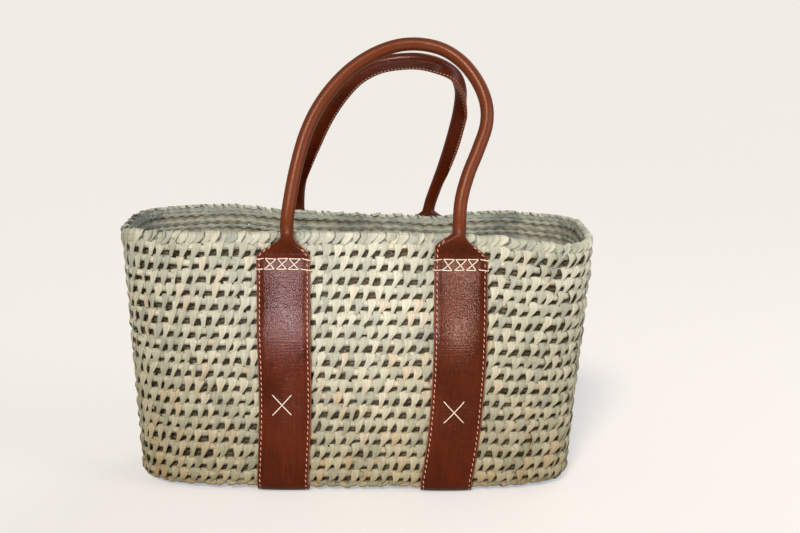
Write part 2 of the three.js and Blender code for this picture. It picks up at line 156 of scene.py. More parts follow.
def ring_at(down):
    """The plan ring at a distance down the profile: its points, normals and stretch by distance along it."""
    out = np.interp(down, profile_down, profile_out)
    height = np.interp(down, profile_down, profile_height)
    half_length = BASE_LENGTH / 2 + out + EXTRA_LENGTH_SLOPE * height
    half_depth = max(BASE_DEPTH / 2 + out, 1)
    turn = np.linspace(0, 2 * math.pi, RING_SAMPLES)
    cos, sin = np.cos(turn), np.sin(turn)
    power_sum = np.abs(cos / half_length) ** PLAN_POWER + np.abs(sin / half_depth) ** PLAN_POWER
    reach = power_sum ** (-1 / PLAN_POWER)
    x, y = reach * cos, reach * sin
    nx = np.sign(x) * np.abs(x / half_length) ** (PLAN_POWER - 1) / half_length
    ny = np.sign(y) * np.abs(y / half_depth) ** (PLAN_POWER - 1) / half_depth
    size = np.hypot(nx, ny)
    along = np.concatenate([[0], np.cumsum(np.hypot(np.diff(x), np.diff(y)))])
    ring = {"down": down, "out": out, "length": along[-1], "along": along}
    stretch = stretch_at(x / half_length, y / half_depth)
    return {**ring, "x": x, "y": y, "nx": nx / size, "ny": ny / size, "stretch": stretch}


def wrap(flat, ring):
    """Flat work in millimetres (along the ring, out of the wall, up the wall) becomes places in metres."""
    along = flat[..., 0] % ring["length"]
    down = ring["down"] - flat[..., 2]
    reach = np.interp(down, profile_down, profile_out) - ring["out"]
    reach = reach + flat[..., 1] * np.interp(down, profile_down, normal_out)
    height = np.interp(down, profile_down, profile_height)
    height = height + flat[..., 1] * np.interp(down, profile_down, normal_up)
    place = {key: np.interp(along, ring["along"], ring[key]) for key in ("x", "y", "nx", "ny", "stretch")}
    x = place["x"] + place["nx"] * reach
    y = place["y"] + place["ny"] * reach
    x = x + FOOT_SHIFT * np.clip(1 - height / BASKET_HEIGHT, 0, 1) ** FOOT_SHIFT_POWER
    return np.stack([x, y, BASE_UNDERSIDE + height * place["stretch"]], -1) * MM


print("rim ring: %.0f mm round" % ring_at(0)["length"])

# %% [markdown]
# ## Small helpers
# Blender's operators act on what is selected, so one helper selects a single object, and one runs an
# edit-mode operator on its whole mesh. Others read or write all the vertices of a mesh at once, which is
# far quicker than one by one. A grid that is moved onto a list of rings gives lofted pieces: its side
# edges are merged, and its two open ends are filled. The last of them gives a finished piece its only
# material.


# %% Helpers for objects and meshes
def select_only(obj):
    bpy.ops.object.select_all(action="DESELECT")
    obj.select_set(True)
    bpy.context.view_layer.objects.active = obj


def edit_all(obj, operator, **settings):
    """Runs an edit-mode operator on the whole mesh of an object."""
    select_only(obj)
    bpy.ops.object.mode_set(mode="EDIT")
    bpy.ops.mesh.select_all(action="SELECT")
    operator(**settings)
    bpy.ops.object.mode_set(mode="OBJECT")


def get_points(obj):
    points = np.empty(len(obj.data.vertices) * 3)
    obj.data.vertices.foreach_get("co", points)
    return points.reshape(-1, 3)


def set_points(obj, points):
    obj.data.vertices.foreach_set("co", np.asarray(points, dtype=np.float64).ravel())
    obj.data.update()


def set_attribute(obj, name, values):
    attribute = obj.data.attributes.get(name) or obj.data.attributes.new(name, "FLOAT", "POINT")
    attribute.data.foreach_set("value", np.asarray(values, dtype=np.float32).ravel())


def grid_object(name, columns, rows):
    """A grid of points, and the column and row of each of its vertices."""
    bpy.ops.object.select_all(action="DESELECT")
    bpy.ops.mesh.primitive_grid_add(x_subdivisions=columns - 1, y_subdivisions=rows - 1, size=2)
    obj = bpy.context.object
    obj.name = obj.data.name = name
    points = get_points(obj)
    column = np.rint((points[:, 0] + 1) / 2 * (columns - 1)).astype(int)
    row = np.rint((points[:, 1] + 1) / 2 * (rows - 1)).astype(int)
    return obj, column, row


def lofted(name, rings, end="fill", attributes=None):
    """A closed skin over rings of points in metres. A ring's last point joins its first, and so do the rings
    where end is "join"; where it is "fill", the two ends are filled. Attributes hold a value per point."""
    rings = np.asarray(rings)
    count, size = rings.shape[:2]
    obj, column, row = grid_object(name, size + 1, count + (end == "join"))
    set_points(obj, rings[row % count, column % size])
    for key, values in (attributes or {}).items():
        set_attribute(obj, key, np.asarray(values)[row % count, column % size])
    bpy.ops.object.mode_set(mode="EDIT")
    bpy.ops.mesh.select_all(action="SELECT")
    bpy.ops.mesh.remove_doubles(threshold=1e-6)
    if end == "fill":
        bpy.ops.mesh.select_all(action="DESELECT")
        bpy.ops.mesh.select_mode(type="EDGE")
        bpy.ops.mesh.select_non_manifold()
        bpy.ops.mesh.edge_face_add()
    bpy.ops.mesh.select_all(action="SELECT")
    bpy.ops.mesh.normals_make_consistent(inside=False)
    bpy.ops.object.mode_set(mode="OBJECT")
    bpy.ops.object.shade_smooth()
    return obj


def join_as(name, objects):
    bpy.ops.object.select_all(action="DESELECT")
    for obj in objects:
        obj.select_set(True)
    bpy.context.view_layer.objects.active = objects[0]
    bpy.ops.object.join()
    joined = bpy.context.object
    joined.name = joined.data.name = name
    return joined


def set_material(obj, material):
    """Makes a material the only one of an object."""
    obj.data.materials.clear()
    obj.data.materials.append(material)


# %% [markdown]
# ## Helpers for materials
# A material is a tree of nodes. One helper adds a node, sets it up, links or fills its sockets and gives
# a colour ramp its stops, and every material here is built with it alone. Colours are written as the hex
# values that one sees on a screen, but Blender calculates in linear light, so another helper turns the
# first into the second.


# %% Helpers for colours and materials
def linear(hex_colour):
    """An sRGB hex value as linear red, green and blue, with full alpha."""
    parts = [int(hex_colour[i:i + 2], 16) / 255 for i in (1, 3, 5)]
    return [p / 12.92 if p <= 0.04045 else ((p + 0.055) / 1.055) ** 2.4 for p in parts] + [1.0]


def add_node(tree, kind, inputs=None, stops=(), **settings):
    """Adds a node, sets what it is told, links or fills its sockets, and gives a ramp its colour stops."""
    made = tree.nodes.new(kind)
    for key, value in settings.items():
        setattr(made, key, value)
    for socket, value in (inputs or {}).items():
        if isinstance(value, bpy.types.NodeSocket):
            tree.links.new(value, made.inputs[socket])
        else:
            made.inputs[socket].default_value = value
    if stops:
        elements = made.color_ramp.elements
        while len(elements) < len(stops):
            elements.new(1.0)
        for element, (place, colour) in zip(elements, stops):
            element.position = place
            element.color = linear(colour)
    return made


def new_material(name):
    """A material with an empty tree to build in."""
    material = bpy.data.materials.new(name)
    material.use_nodes = True
    material.node_tree.nodes.clear()
    return material, material.node_tree


# %% [markdown]
# ## Palm leaf
# Dried palm leaf is a matt, fibrous strip. It bleaches unevenly, so one strip is cream, the next greenish
# grey, the next faintly pink. Each stitch therefore carries one number, its tone, and a ramp of leaf colours
# turns it into a colour; the ramp's lowest grey and its dark brown top are used for painted shade. A second
# number marks leaf that lies far into a gap, which is painted a darker brown as shade.
# Fine fibres run along the strip: noise that is stretched along the strip's own UV map. Real fibres are
# about 0.4 mm wide, which is too fine for the picture, so they are drawn about 1.3 mm wide. Each strip is
# darker towards its edges, and each loop on its underside: painted shade between neighbours. Towards the
# foot of the bag a darker, browner tint is multiplied in by height: painted shade and warm bounce light.

# %% Palm leaf material
LEAF_WIDTH, FIBRE_WIDTH = 9.0, 1.3
FIBRE_ALONG, FIBRE_SEED, FIBRE_DEPTH = 2.2, 61.0, 0.5
# the lowest grey stop and the dark brown top stop are reached only by painted shade: the inside of the bag,
# the cores behind the stitches and under the border
LEAF_COLOURS = [
    (0.0, "#7a807c"), (0.2, "#a7aa9d"), (0.45, "#b7b7a3"), (0.7, "#d1cfba"), (0.8, "#d0c5ae"),
    (0.9, "#c3ab87"), (1.0, "#574523"),
]
# the dark brown of painted shade far into the gaps between courses
GAP_SHADE_COLOUR = "#574523"
# a darker, browner tint towards the foot of the bag: painted shade and warm bounce light
FOOT_SHADE_TINT, FOOT_LOW, FOOT_HIGH = "#d0c6af", 0 * MM, 220 * MM

palm_leaf, tree = new_material("dried_palm_leaf")
tone, gap_shade = (
    add_node(tree, "ShaderNodeAttribute", attribute_name=name).outputs["Fac"] for name in ("tone", "gap_shade")
)
strip = add_node(tree, "ShaderNodeUVMap", uv_map="UVMap").outputs["UV"]
stretched = add_node(tree, "ShaderNodeMapping", {
    "Vector": strip, "Scale": (LEAF_WIDTH / FIBRE_WIDTH, FIBRE_ALONG, 1),
})
own_fibres = add_node(tree, "ShaderNodeMath", {0: tone, 1: FIBRE_SEED}, operation="MULTIPLY")
fibres = add_node(tree, "ShaderNodeTexNoise", {
    "Vector": stretched.outputs["Vector"], "W": own_fibres.outputs["Value"], "Scale": 1.0, "Detail": 3.0,
}, noise_dimensions="4D").outputs["Fac"]
leaf_colours = add_node(tree, "ShaderNodeValToRGB", {"Fac": tone}, stops=LEAF_COLOURS)
place = add_node(tree, "ShaderNodeTexCoord")
height = add_node(tree, "ShaderNodeSeparateXYZ", {"Vector": place.outputs["Object"]})
low = add_node(tree, "ShaderNodeMapRange", {
    "Value": height.outputs["Z"], "From Min": FOOT_LOW, "From Max": FOOT_HIGH, "To Min": 1.0, "To Max": 0.0,
})
# leaf far into a gap is mixed towards dark brown: painted shade
gap_shaded = add_node(tree, "ShaderNodeMix", {
    "Factor": gap_shade, "A": leaf_colours.outputs["Color"], "B": linear(GAP_SHADE_COLOUR),
}, data_type="RGBA")
# the tint is multiplied in more the lower the point: painted shade and warm bounce light towards the foot
foot_shaded = add_node(tree, "ShaderNodeMix", {
    "Factor": low.outputs["Result"], "A": gap_shaded.outputs["Result"], "B": linear(FOOT_SHADE_TINT),
}, data_type="RGBA", blend_type="MULTIPLY")
fibre_shade = add_node(tree, "ShaderNodeMapRange", {
    "Value": fibres, "From Min": 0.3, "From Max": 0.7, "To Min": 0.76, "To Max": 1.14,
})
# each piece is darker towards the two sides of its UV map, a strip along its edges and a loop on its
# underside: painted shade between neighbouring strips and above the gaps
across = add_node(tree, "ShaderNodeSeparateXYZ", {"Vector": strip})
off_middle = add_node(tree, "ShaderNodeMath", {0: across.outputs["X"], 1: 0.5}, operation="SUBTRACT")
from_middle = add_node(tree, "ShaderNodeMath", {0: off_middle.outputs["Value"]}, operation="ABSOLUTE")
edge_shade = add_node(tree, "ShaderNodeMapRange", {
    "Value": from_middle.outputs["Value"], "From Min": 0.41, "From Max": 0.5, "To Min": 1.0, "To Max": 0.55,
})
shade = add_node(tree, "ShaderNodeMath", {
    0: fibre_shade.outputs["Result"], 1: edge_shade.outputs["Result"],
}, operation="MULTIPLY")
leaf = add_node(tree, "ShaderNodeVectorMath", {
    0: foot_shaded.outputs["Result"], "Scale": shade.outputs["Value"],
}, operation="SCALE")
fibre_bump = add_node(tree, "ShaderNodeBump", {
    "Height": fibres, "Strength": 0.35, "Distance": FIBRE_DEPTH * MM,
})
leaf_shader = add_node(tree, "ShaderNodeBsdfPrincipled", {
    "Base Color": leaf.outputs["Vector"], "Normal": fibre_bump.outputs["Normal"],
    "Roughness": 0.52, "IOR": 1.45,
})
add_node(tree, "ShaderNodeOutputMaterial", {"Surface": leaf_shader.outputs["BSDF"]})
print("material:", palm_leaf.name)

# %% [markdown]
# ## One stitch
# A stitch is one strip of leaf. It comes up the inside of the course's core, goes over it and lies
# outside it as a broad head. Below the core it is pulled together into a narrow tail, which crosses the
# gap and goes in behind the course below. Between the heads a tall rounded loop arches along the course.
# Heads and loops together make the light band, and the gaps hang below it. The strip is a small grid:
# each row of its points is set to a place along that path, and to the strip's width there. Solidify then
# gives the leaf its thickness.

# %% Stitch sizes, in millimetres
COURSE_PITCH = 13.7
STITCH_PITCH = 11.6
CORE_DEPTH = 4.0
LEAF_THICKNESS = 0.9
STITCH_CROWN, BORDER_CROWN, STRIP_COLUMNS = 0.45, 0.5, 3
# up the wall, out of the wall, width, and shift along the course, from inside the core to the tail
STITCH_PATH = np.array([
    (-5.0, -6.6, 13.5, 1.5), (0.0, -7.6, 15.0, 1.0), (4.2, -7.0, 14.5, 0.6), (6.2, -4.6, 11.8, 0.4),
    (5.8, -2.2, 10.2, 0.4), (3.0, -0.7, 8.8, 0.5), (0.0, -0.3, 7.0, 0.4), (-3.2, -0.7, 4.9, -0.6),
    (-6.6, -1.6, 4.1, -2.0), (-10.4, -2.8, 4.2, -3.2),
])
# a loop's reach along the course, its half height and half depth, and its height, depth, arch and dive
LOOP_START, LOOP_END = 0.8, 11.2
LOOP_HALF_HEIGHT, LOOP_HALF_DEPTH = 3.6, 1.6
LOOP_HEIGHT, LOOP_DEPTH, LOOP_ARCH, LOOP_DIVE = 1.2, -1.3, 1.0, 1.6
LOOP_ROWS, LOOP_SIDES = 5, 5


# %% Model the stitch
def leaf_strip(name, path, crown):
    """A strip of leaf along a path in millimetres. The crown rounds it across, and it has a thickness."""
    obj, column, row = grid_object(name, STRIP_COLUMNS, len(path))
    across = column / (STRIP_COLUMNS - 1) * 2 - 1
    tangent = np.gradient(path[:, :2], axis=0)
    tangent /= np.linalg.norm(tangent, axis=1)[:, None]
    lift = crown * (1 - across ** 2)
    x = path[row, 3] + across * path[row, 2] / 2
    y = path[row, 1] - lift * tangent[row, 0]
    z = path[row, 0] + lift * tangent[row, 1]
    set_points(obj, np.stack([x, y, z], 1))
    edit_all(obj, bpy.ops.mesh.flip_normals)
    bpy.ops.object.shade_flat()
    thickness = obj.modifiers.new("thickness", "SOLIDIFY")
    thickness.thickness = LEAF_THICKNESS
    thickness.offset = -1
    bpy.ops.object.modifier_apply(modifier=thickness.name)
    return obj


def leaf_loop(name):
    """A roll of leaf that arches from behind a stitch to behind the next one, in millimetres."""
    share = np.linspace(0, 1, LOOP_ROWS)[:, None]
    angle = np.linspace(-math.pi / 2, 1.5 * math.pi, LOOP_SIDES + 1)[:-1]
    arch = np.sin(math.pi * share)
    x = LOOP_START + (LOOP_END - LOOP_START) * share + 0 * angle
    y = LOOP_DEPTH - LOOP_DIVE * (2 * share - 1) ** 2 + LOOP_HALF_DEPTH * np.cos(angle)
    z = LOOP_HEIGHT + LOOP_ARCH * arch + LOOP_HALF_HEIGHT * np.sin(angle)
    loop = lofted(name, np.stack([x, y, z], -1))
    bpy.ops.object.shade_flat()
    set_attribute(loop, "loop", np.ones(len(loop.data.vertices)))
    return loop


stitch = join_as("stitch", [leaf_strip("strip", STITCH_PATH, STITCH_CROWN), leaf_loop("loop")])
print("stitch: %d faces" % len(stitch.data.polygons))

# %% [markdown]
# ## Courses
# A course is a row of stitches round a core of twisted leaf. An Array modifier lays the copies of the
# stitch in a straight row. Hand work is uneven, so every copy is then moved a little: its width, its
# lean, its twist and its place all vary, from a fixed seed, so that each run gives the same bag, and some
# strips are folded along their middle. Last, the row is wrapped onto the basket. Each course is set off
# by about half a stitch from the one above. The core is a lofted ring that swells between the stitches;
# its tones are shifted to dark brown as painted shade, since it lies recessed. Two lumpy, twisted rings lie
# further in, one behind the course and one behind the gap above it, and make the ridges that show inside.
# Leaf far into the gaps is painted a darker brown, and leaf inside the bag a darker grey: both are painted
# shade. Towards the foot more strips are straw-coloured: painted warm bounce light and shade.

# %% Tones of the leaf
rng = np.random.default_rng(20)
# depths below the wall's face between which leaf turns to the dark brown painted shade of the gaps, and to
# the grey painted shade of the inside
GAP_DEPTHS = CORE_DEPTH - 1.6, CORE_DEPTH + 0.6
INSIDE_DEPTHS = CORE_DEPTH + 3.8, CORE_DEPTH + 4.8


def leaf_tones(count, foot_shade):
    """One tone for each strip: mostly cream and grey green, now and then a pink or straw-coloured leaf."""
    tones = np.clip(rng.normal(0.54, 0.15, count), 0.28, 0.72)
    # more strips are straw-coloured towards the foot of the bag: painted warm bounce light and shade
    odd = rng.random(count) < 0.03 + 0.22 * foot_shade
    return np.where(odd, rng.uniform(0.74, 0.8 + 0.08 * foot_shade, count), tones)


def depth_marks(tones, out, gaps):
    """The tones of points, which turn grey on the inside as painted shade, and how far into a gap they lie,
    which is painted a darker brown as shade.
    """
    in_gap = gaps * smoothstep(-out, *GAP_DEPTHS)
    inside = gaps * smoothstep(-out, *INSIDE_DEPTHS)
    # leaf inside the bag turns to a darker grey: painted shade
    grey = 0.9 * tones - 0.2
    return {"tone": tones + (grey - tones) * inside, "gap_shade": in_gap * (1 - inside) * (0.62 + 0.5 * tones)}


# %% A row of copies, wrapped onto the basket
FOLD_REACH, FOLD_CREASE = 2.5, 1.5
TWIST_REACH = 4
FEWEST_STITCHES = 6


def copies_in_row(model, name, count, pitch):
    """Copies of a model in a straight row, as one object."""
    select_only(model)
    bpy.ops.object.duplicate()
    row = bpy.context.object
    row.name = row.data.name = name
    array = row.modifiers.new("row", "ARRAY")
    array.count = count
    array.use_relative_offset = False
    array.use_constant_offset = True
    array.constant_offset_displace = (pitch, 0, 0)
    bpy.ops.object.modifier_apply(modifier=array.name)
    return row


def own_loops(row, count):
    """Which points of each copy belong to its loop."""
    loops = np.zeros(len(row.data.vertices))
    if "loop" in row.data.attributes:
        row.data.attributes["loop"].data.foreach_get("value", loops)
    return loops.reshape(count, -1) > 0.5


def stitch_count(ring, stitch_pitch):
    return max(FEWEST_STITCHES, round(ring["length"] / stitch_pitch))


def course_wave(turn, down):
    """How far a course strays from its height, by its turn round the bag."""
    return 0.8 * np.sin(3 * turn + down) + 0.5 * np.sin(7 * turn + 2.1 * down)


def course_of_stitches(model, name, down, count, phase, foot_shade, sway=1.0, gaps=1.0):
    """A row of copies of a stitch, each a little different, wrapped onto the basket."""
    ring = ring_at(down)
    pitch = ring["length"] / count
    row = copies_in_row(model, name, count, pitch)
    flat = get_points(row).reshape(count, -1, 3)
    own = np.arange(count)[:, None]
    middle = own * pitch
    across = flat[..., 0] - middle
    below = np.clip(-flat[..., 2] / COURSE_PITCH, 0, 1)
    outside = flat[..., 1] > -CORE_DEPTH
    depth = flat[..., 1].copy()
    head_width = rng.uniform(0.7, 1.3, (count, 1))
    tail_width = rng.uniform(0.75, 1.3, (count, 1))
    lean = rng.normal(-0.6, 1.5, (count, 1)) * sway
    twist = rng.normal(0, 0.2, (count, 1)) * sway
    skew = rng.normal(0.1, 0.16, (count, 1)) * sway
    push = rng.uniform(-0.9, 0.2, (count, 1))
    folded = rng.uniform(-0.3, 1.0, (count, 1)).clip(0, 1) * sway
    slip = rng.normal(0, 0.9, (count, 1)) * sway
    rise = rng.normal(0, 0.45, (count, 1)) * sway
    width = head_width * (1 - below) + tail_width * below
    width = 1 + (width - 1) * np.clip(1 - np.abs(across) / pitch, 0, 1)
    aside = np.clip(across, -TWIST_REACH, TWIST_REACH)
    crease = FOLD_CREASE * np.clip(1 - np.abs(across) / FOLD_REACH, 0, 1) * folded
    flat[..., 0] = middle + phase + slip + across * width + lean * below * outside
    flat[..., 1] += np.where(outside, push + aside * twist - crease, 0)
    flat[..., 2] += rise + course_wave(2 * math.pi * own / count, down) + aside * skew
    set_points(row, wrap(flat, ring).reshape(-1, 3))
    loop_tones = leaf_tones(count, foot_shade)[:, None]
    strip_tones = leaf_tones(count, foot_shade)[:, None]
    tones = np.where(own_loops(row, count), loop_tones, strip_tones)
    for key, values in depth_marks(tones, depth, gaps).items():
        set_attribute(row, key, values)
    return row


# %% The core of a course
# the core's tones are scaled by 1.9 towards the ramp's dark brown end: painted shade on a core that lies
# recessed behind the stitches
CORE = {"half_height": 3.3, "half_depth": 2.3, "depth": CORE_DEPTH + 0.5, "lift": 1.8, "shade_factor": 1.9}
RIDGE = {"half_height": 2.8, "half_depth": 2.3, "depth": 7.2, "lumpy": 2.4, "twisted": 0.16}
LUMP_SHARES = np.array([0.0, 0.19, 0.3, 0.5, 0.7, 0.81])
LUMP_SWELL = np.array([0.86, 0.92, 1.0, 1.05, 1.0, 0.92])
CORE_SIDES = 8


def course_core(
    name, down, count, phase, half_height, half_depth, depth, foot_shade,
    shade_factor=0.9, gaps=1.0, lift=0.0, lumpy=1.0, twisted=0.0,
):
    """The core of a course: a ring of twisted leaf, which bulges between the stitches that bind it."""
    ring = ring_at(down)
    lumps = len(LUMP_SHARES)
    shares = (np.repeat(np.arange(count), lumps) + np.tile(LUMP_SHARES, count)) / count
    wave = course_wave(2 * math.pi * shares, down)
    swell = np.tile(1 + lumpy * (LUMP_SWELL - 1), count) * np.repeat(rng.uniform(0.92, 1.06, count), lumps)
    angle = np.linspace(0, 2 * math.pi, CORE_SIDES + 1)[:-1]
    swell = swell[:, None] * (1 + twisted * np.cos(2 * angle - 2 * math.pi * count * shares[:, None]))
    flat = np.empty((len(shares), CORE_SIDES, 3))
    flat[..., 0] = (phase + shares * ring["length"])[:, None]
    flat[..., 1] = -depth + half_depth * np.cos(angle) * swell
    flat[..., 2] = half_height * np.sin(angle) * swell + wave[:, None] + lift
    # scaling the tones paints shade: dark brown on the recessed cores, grey on the border's core
    tones = np.repeat(leaf_tones(count, foot_shade) * shade_factor, lumps)[:, None]
    core = lofted(name, wrap(flat, ring), end="join", attributes=depth_marks(tones, flat[..., 1], gaps))
    bpy.ops.object.shade_flat()
    return core


# %% All the courses, from the rim down to the middle of the base
FIRST_COURSE, COURSE_SLANT = 17.0, 6.0
# where the two inner ridges of a course lie: down the wall, and along it
RIDGE_PLACES = ((-COURSE_PITCH / 2 - 0.9, 0), (0, STITCH_PITCH / 2))
EDGE_DOWN = float(np.interp(BASKET_HEIGHT - EDGE_RADIUS, -profile_height + BASKET_HEIGHT, profile_down))
BASE_START = EDGE_DOWN + EDGE_RADIUS * math.pi / 2
WALL_GROUPS = [f"wall_courses_{number}" for number in range(1, 7)]
parts = {name: [] for name in WALL_GROUPS + ["base_courses"]}
wall_count = stitch_count(ring_at(FIRST_COURSE), STITCH_PITCH)
for number, down in enumerate(np.arange(FIRST_COURSE, profile_down[-1] - 3, COURSE_PITCH)):
    share = min(1.0, down / BASE_START)
    on_wall = WALL_GROUPS[min(len(WALL_GROUPS) - 1, int(share * len(WALL_GROUPS)))]
    group = "base_courses" if down > BASE_START else on_wall
    count = wall_count if down < BASE_START else stitch_count(ring_at(down), STITCH_PITCH)
    row = {"down": down, "count": count, "phase": -COURSE_SLANT * number, "foot_shade": share}
    parts[group].append(course_of_stitches(stitch, f"course_{number}", **row))
    parts[group].append(course_core(f"core_{number}", **row, **CORE))
    for drop, along in RIDGE_PLACES:
        behind = {**row, "down": down + drop, "phase": row["phase"] + along}
        parts[group].append(course_core(f"ridge_{number}", **behind, **RIDGE))
for name, rows in parts.items():
    woven = join_as(name, rows)
    set_material(woven, palm_leaf)
    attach(woven, "basket")
    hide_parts("base_panel" if name == "base_courses" else "wall")
    print(name, len(woven.data.polygons), "faces")

# %% [markdown]
# ## The rim border
# The top edge is closed by a whip stitch: broad strips that wind over the edge one beside the other. They
# come straight over the top and bend to the left below it, as seen from outside. It is the same idea as
# the courses, with a path that goes right over the top.

# %% Model the border stitch and wind it round the rim
BORDER_MIDDLE, BORDER_PITCH, BORDER_SWAY = 6.2, 8.0, 1.3
# the border core's tones are scaled by 0.3 to the ramp's grey end: painted shade in the gaps between border
# strips
BORDER_CORE = {"half_height": 5.2, "half_depth": 3.4, "depth": 5.0, "lift": -1.0, "shade_factor": 0.3}
BORDER_WIDTH_SHARE = 0.85
BORDER_PATH = np.array([
    (-7.4, -2.0, 5.0, -5.8), (-5.2, -0.7, 7.4, -4.2), (-2.2, 0.0, 9.6, -1.8), (1.2, 0.0, 11.0, 0.8),
    (4.2, -1.0, 11.4, 1.0), (5.9, -3.4, 11.2, 0.2), (6.0, -6.0, 10.8, -0.4), (4.7, -7.9, 10.0, -1.0),
    (2.8, -8.3, 8.0, -1.6),
])
border_stitch = leaf_strip("border_stitch", BORDER_PATH * (1, 1, BORDER_WIDTH_SHARE, 1), BORDER_CROWN)
border_count = stitch_count(ring_at(BORDER_MIDDLE), BORDER_PITCH)
row = {"down": BORDER_MIDDLE, "count": border_count, "phase": 0.0, "foot_shade": 0.0, "gaps": 0.0}
border = course_of_stitches(border_stitch, "border_row", **row, sway=BORDER_SWAY)
rim = join_as("rim_stitches", [border, course_core("border_core", **row, **BORDER_CORE)])
set_material(rim, palm_leaf)
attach(rim, "basket")
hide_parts("rim_border")
for model in (stitch, border_stitch):
    bpy.data.objects.remove(model)
print("rim:", len(rim.data.polygons), "faces")

# %% [markdown]
# ## Leather
# The straps and handles are oiled cowhide in a reddish cognac brown. It has a fine pebbled grain, darker
# where oil and hands have been, faint streaks along the hide and paler cut edges. Its polish reflects
# what stands before it, which gives it a mauve sheen. Grain pebbles are about 1 mm; they are drawn at 2
# mm so that they still show. Three attributes ride on the leather pieces: edge marks the paler cut edges;
# the second marks the tubes, which hands have rubbed to a lighter orange brown, and it is strongest at the
# front of the front tube and weaker towards the tubes' sides and on the rear tube, which is painted light
# and shade; tube marks the tubes, which are less polished than the straps.

# %% Leather materials
GRAIN_SIZE, PATCH_SIZE = 2.0, 45.0
STREAK_SIZES = (1.3, 1.3, 55.0)
CREASE_SIZES = (22.0, 22.0, 1.5)
STREAK_SHARE, TUBE_ROUGHNESS = 0.45, 0.13
SHEEN_TINT = (1.0, 0.74, 0.64, 1.0)


def leather_material(name, dark, light, worn_and_lit_colour, edge_colour, roughness, grain_depth):
    material, tree = new_material(name)
    place = add_node(tree, "ShaderNodeTexCoord").outputs["Object"]
    along_hide, across_hide = (
        add_node(tree, "ShaderNodeMapping", {
            "Vector": place, "Scale": [1 / (size * MM) for size in sizes],
        }).outputs["Vector"]
        for sizes in (STREAK_SIZES, CREASE_SIZES)
    )
    patterns = ((place, 1 / (PATCH_SIZE * MM), 5.0), (along_hide, 1.0, 3.0), (across_hide, 1.0, 2.0))
    patches, streaks, creases = (
        add_node(tree, "ShaderNodeTexNoise", {
            "Vector": vector, "Scale": scale, "Detail": detail,
        }).outputs["Fac"]
        for vector, scale, detail in patterns
    )
    uneven = add_node(tree, "ShaderNodeMix", {0: STREAK_SHARE, 2: patches, 3: streaks})
    coloured = add_node(tree, "ShaderNodeValToRGB", {
        "Fac": uneven.outputs[0],
    }, stops=[(0.36, dark), (0.64, light)]).outputs["Color"]
    worn_and_lit, edge, tube = (
        add_node(tree, "ShaderNodeAttribute", attribute_name=key).outputs["Fac"]
        for key in ("worn_and_lit", "edge", "tube")
    )
    # the lighter tube colour is partly wear and partly painted light on the front, with painted shade on the
    # sides and on the rear tube
    for share, colour in ((worn_and_lit, worn_and_lit_colour), (edge, edge_colour)):
        coloured = add_node(tree, "ShaderNodeMix", {
            "Factor": share, "A": coloured, "B": linear(colour),
        }, data_type="RGBA").outputs["Result"]
    grain = add_node(tree, "ShaderNodeTexVoronoi", {
        "Vector": place, "Scale": 1 / (GRAIN_SIZE * MM),
    }, feature="DISTANCE_TO_EDGE")
    relief = add_node(tree, "ShaderNodeMath", {0: grain.outputs["Distance"], 1: creases}, operation="ADD")
    bump = add_node(tree, "ShaderNodeBump", {
        "Height": relief.outputs["Value"], "Strength": 0.6, "Distance": grain_depth * MM,
    })
    uneven_polish = add_node(tree, "ShaderNodeMapRange", {
        "Value": patches, "From Min": 0.35, "From Max": 0.65,
        "To Min": roughness - 0.04, "To Max": roughness + 0.06,
    })
    polish = add_node(tree, "ShaderNodeMath", {
        0: tube, 1: TUBE_ROUGHNESS, 2: uneven_polish.outputs["Result"],
    }, operation="MULTIPLY_ADD")
    shader = add_node(tree, "ShaderNodeBsdfPrincipled", {
        "Base Color": coloured, "Roughness": polish.outputs["Value"], "Normal": bump.outputs["Normal"],
        "IOR": 1.41, "Specular Tint": SHEEN_TINT,
    })
    add_node(tree, "ShaderNodeOutputMaterial", {"Surface": shader.outputs["BSDF"]})
    return material


cognac = leather_material("oiled_cognac_leather", "#390e00", "#581c02", "#703316", "#9c5e44", 0.18, 0.25)
suede = leather_material("split_leather_lining", "#4a2415", "#5c2f1c", "#5c2f1c", "#7d4a30", 0.75, 0.5)
print("materials:", cognac.name, suede.name)

# %% [markdown]
# ## Where the leather lies
# A strap lies on the wall, follows it round the base's edge and runs under the base to the middle. Above
# the fold line it becomes the handle's tab, which narrows and fills out to the rolled tube. The functions
# below give the places: a point off the wall, the middle of a strap at a height, and the smooth line that
# a tube follows. They work with +Y pointing out of the bag, and the front is mirrored at the end.

# %% Leather sizes, in millimetres
STRAP_WIDTH = 52
SEAT_GAP, LINING_LEATHER, OUTER_LEATHER = 0.3, 1.6, 1.8
STRAP_STACK = 4.0
TUBE_RADIUS, SLEEVE_WALL = 6.5, 2.0
SEAM_FLANGE, SEAM_THICKNESS = 4.5, 3.0
FLARE_LENGTH, FOLD_HEIGHT, FOLD_GAP = 22, 246, 0.6
STRAP_DRAW, NECK_LENGTH, LEAN_DEPTH, LEAN_POWER = 140, 11, 65, 1.25
TAB_THICKNESS = STRAP_STACK - SEAT_GAP
RIM_TOP = BASE_UNDERSIDE + BASKET_HEIGHT
EDGE_TOP = BASE_UNDERSIDE + EDGE_RADIUS
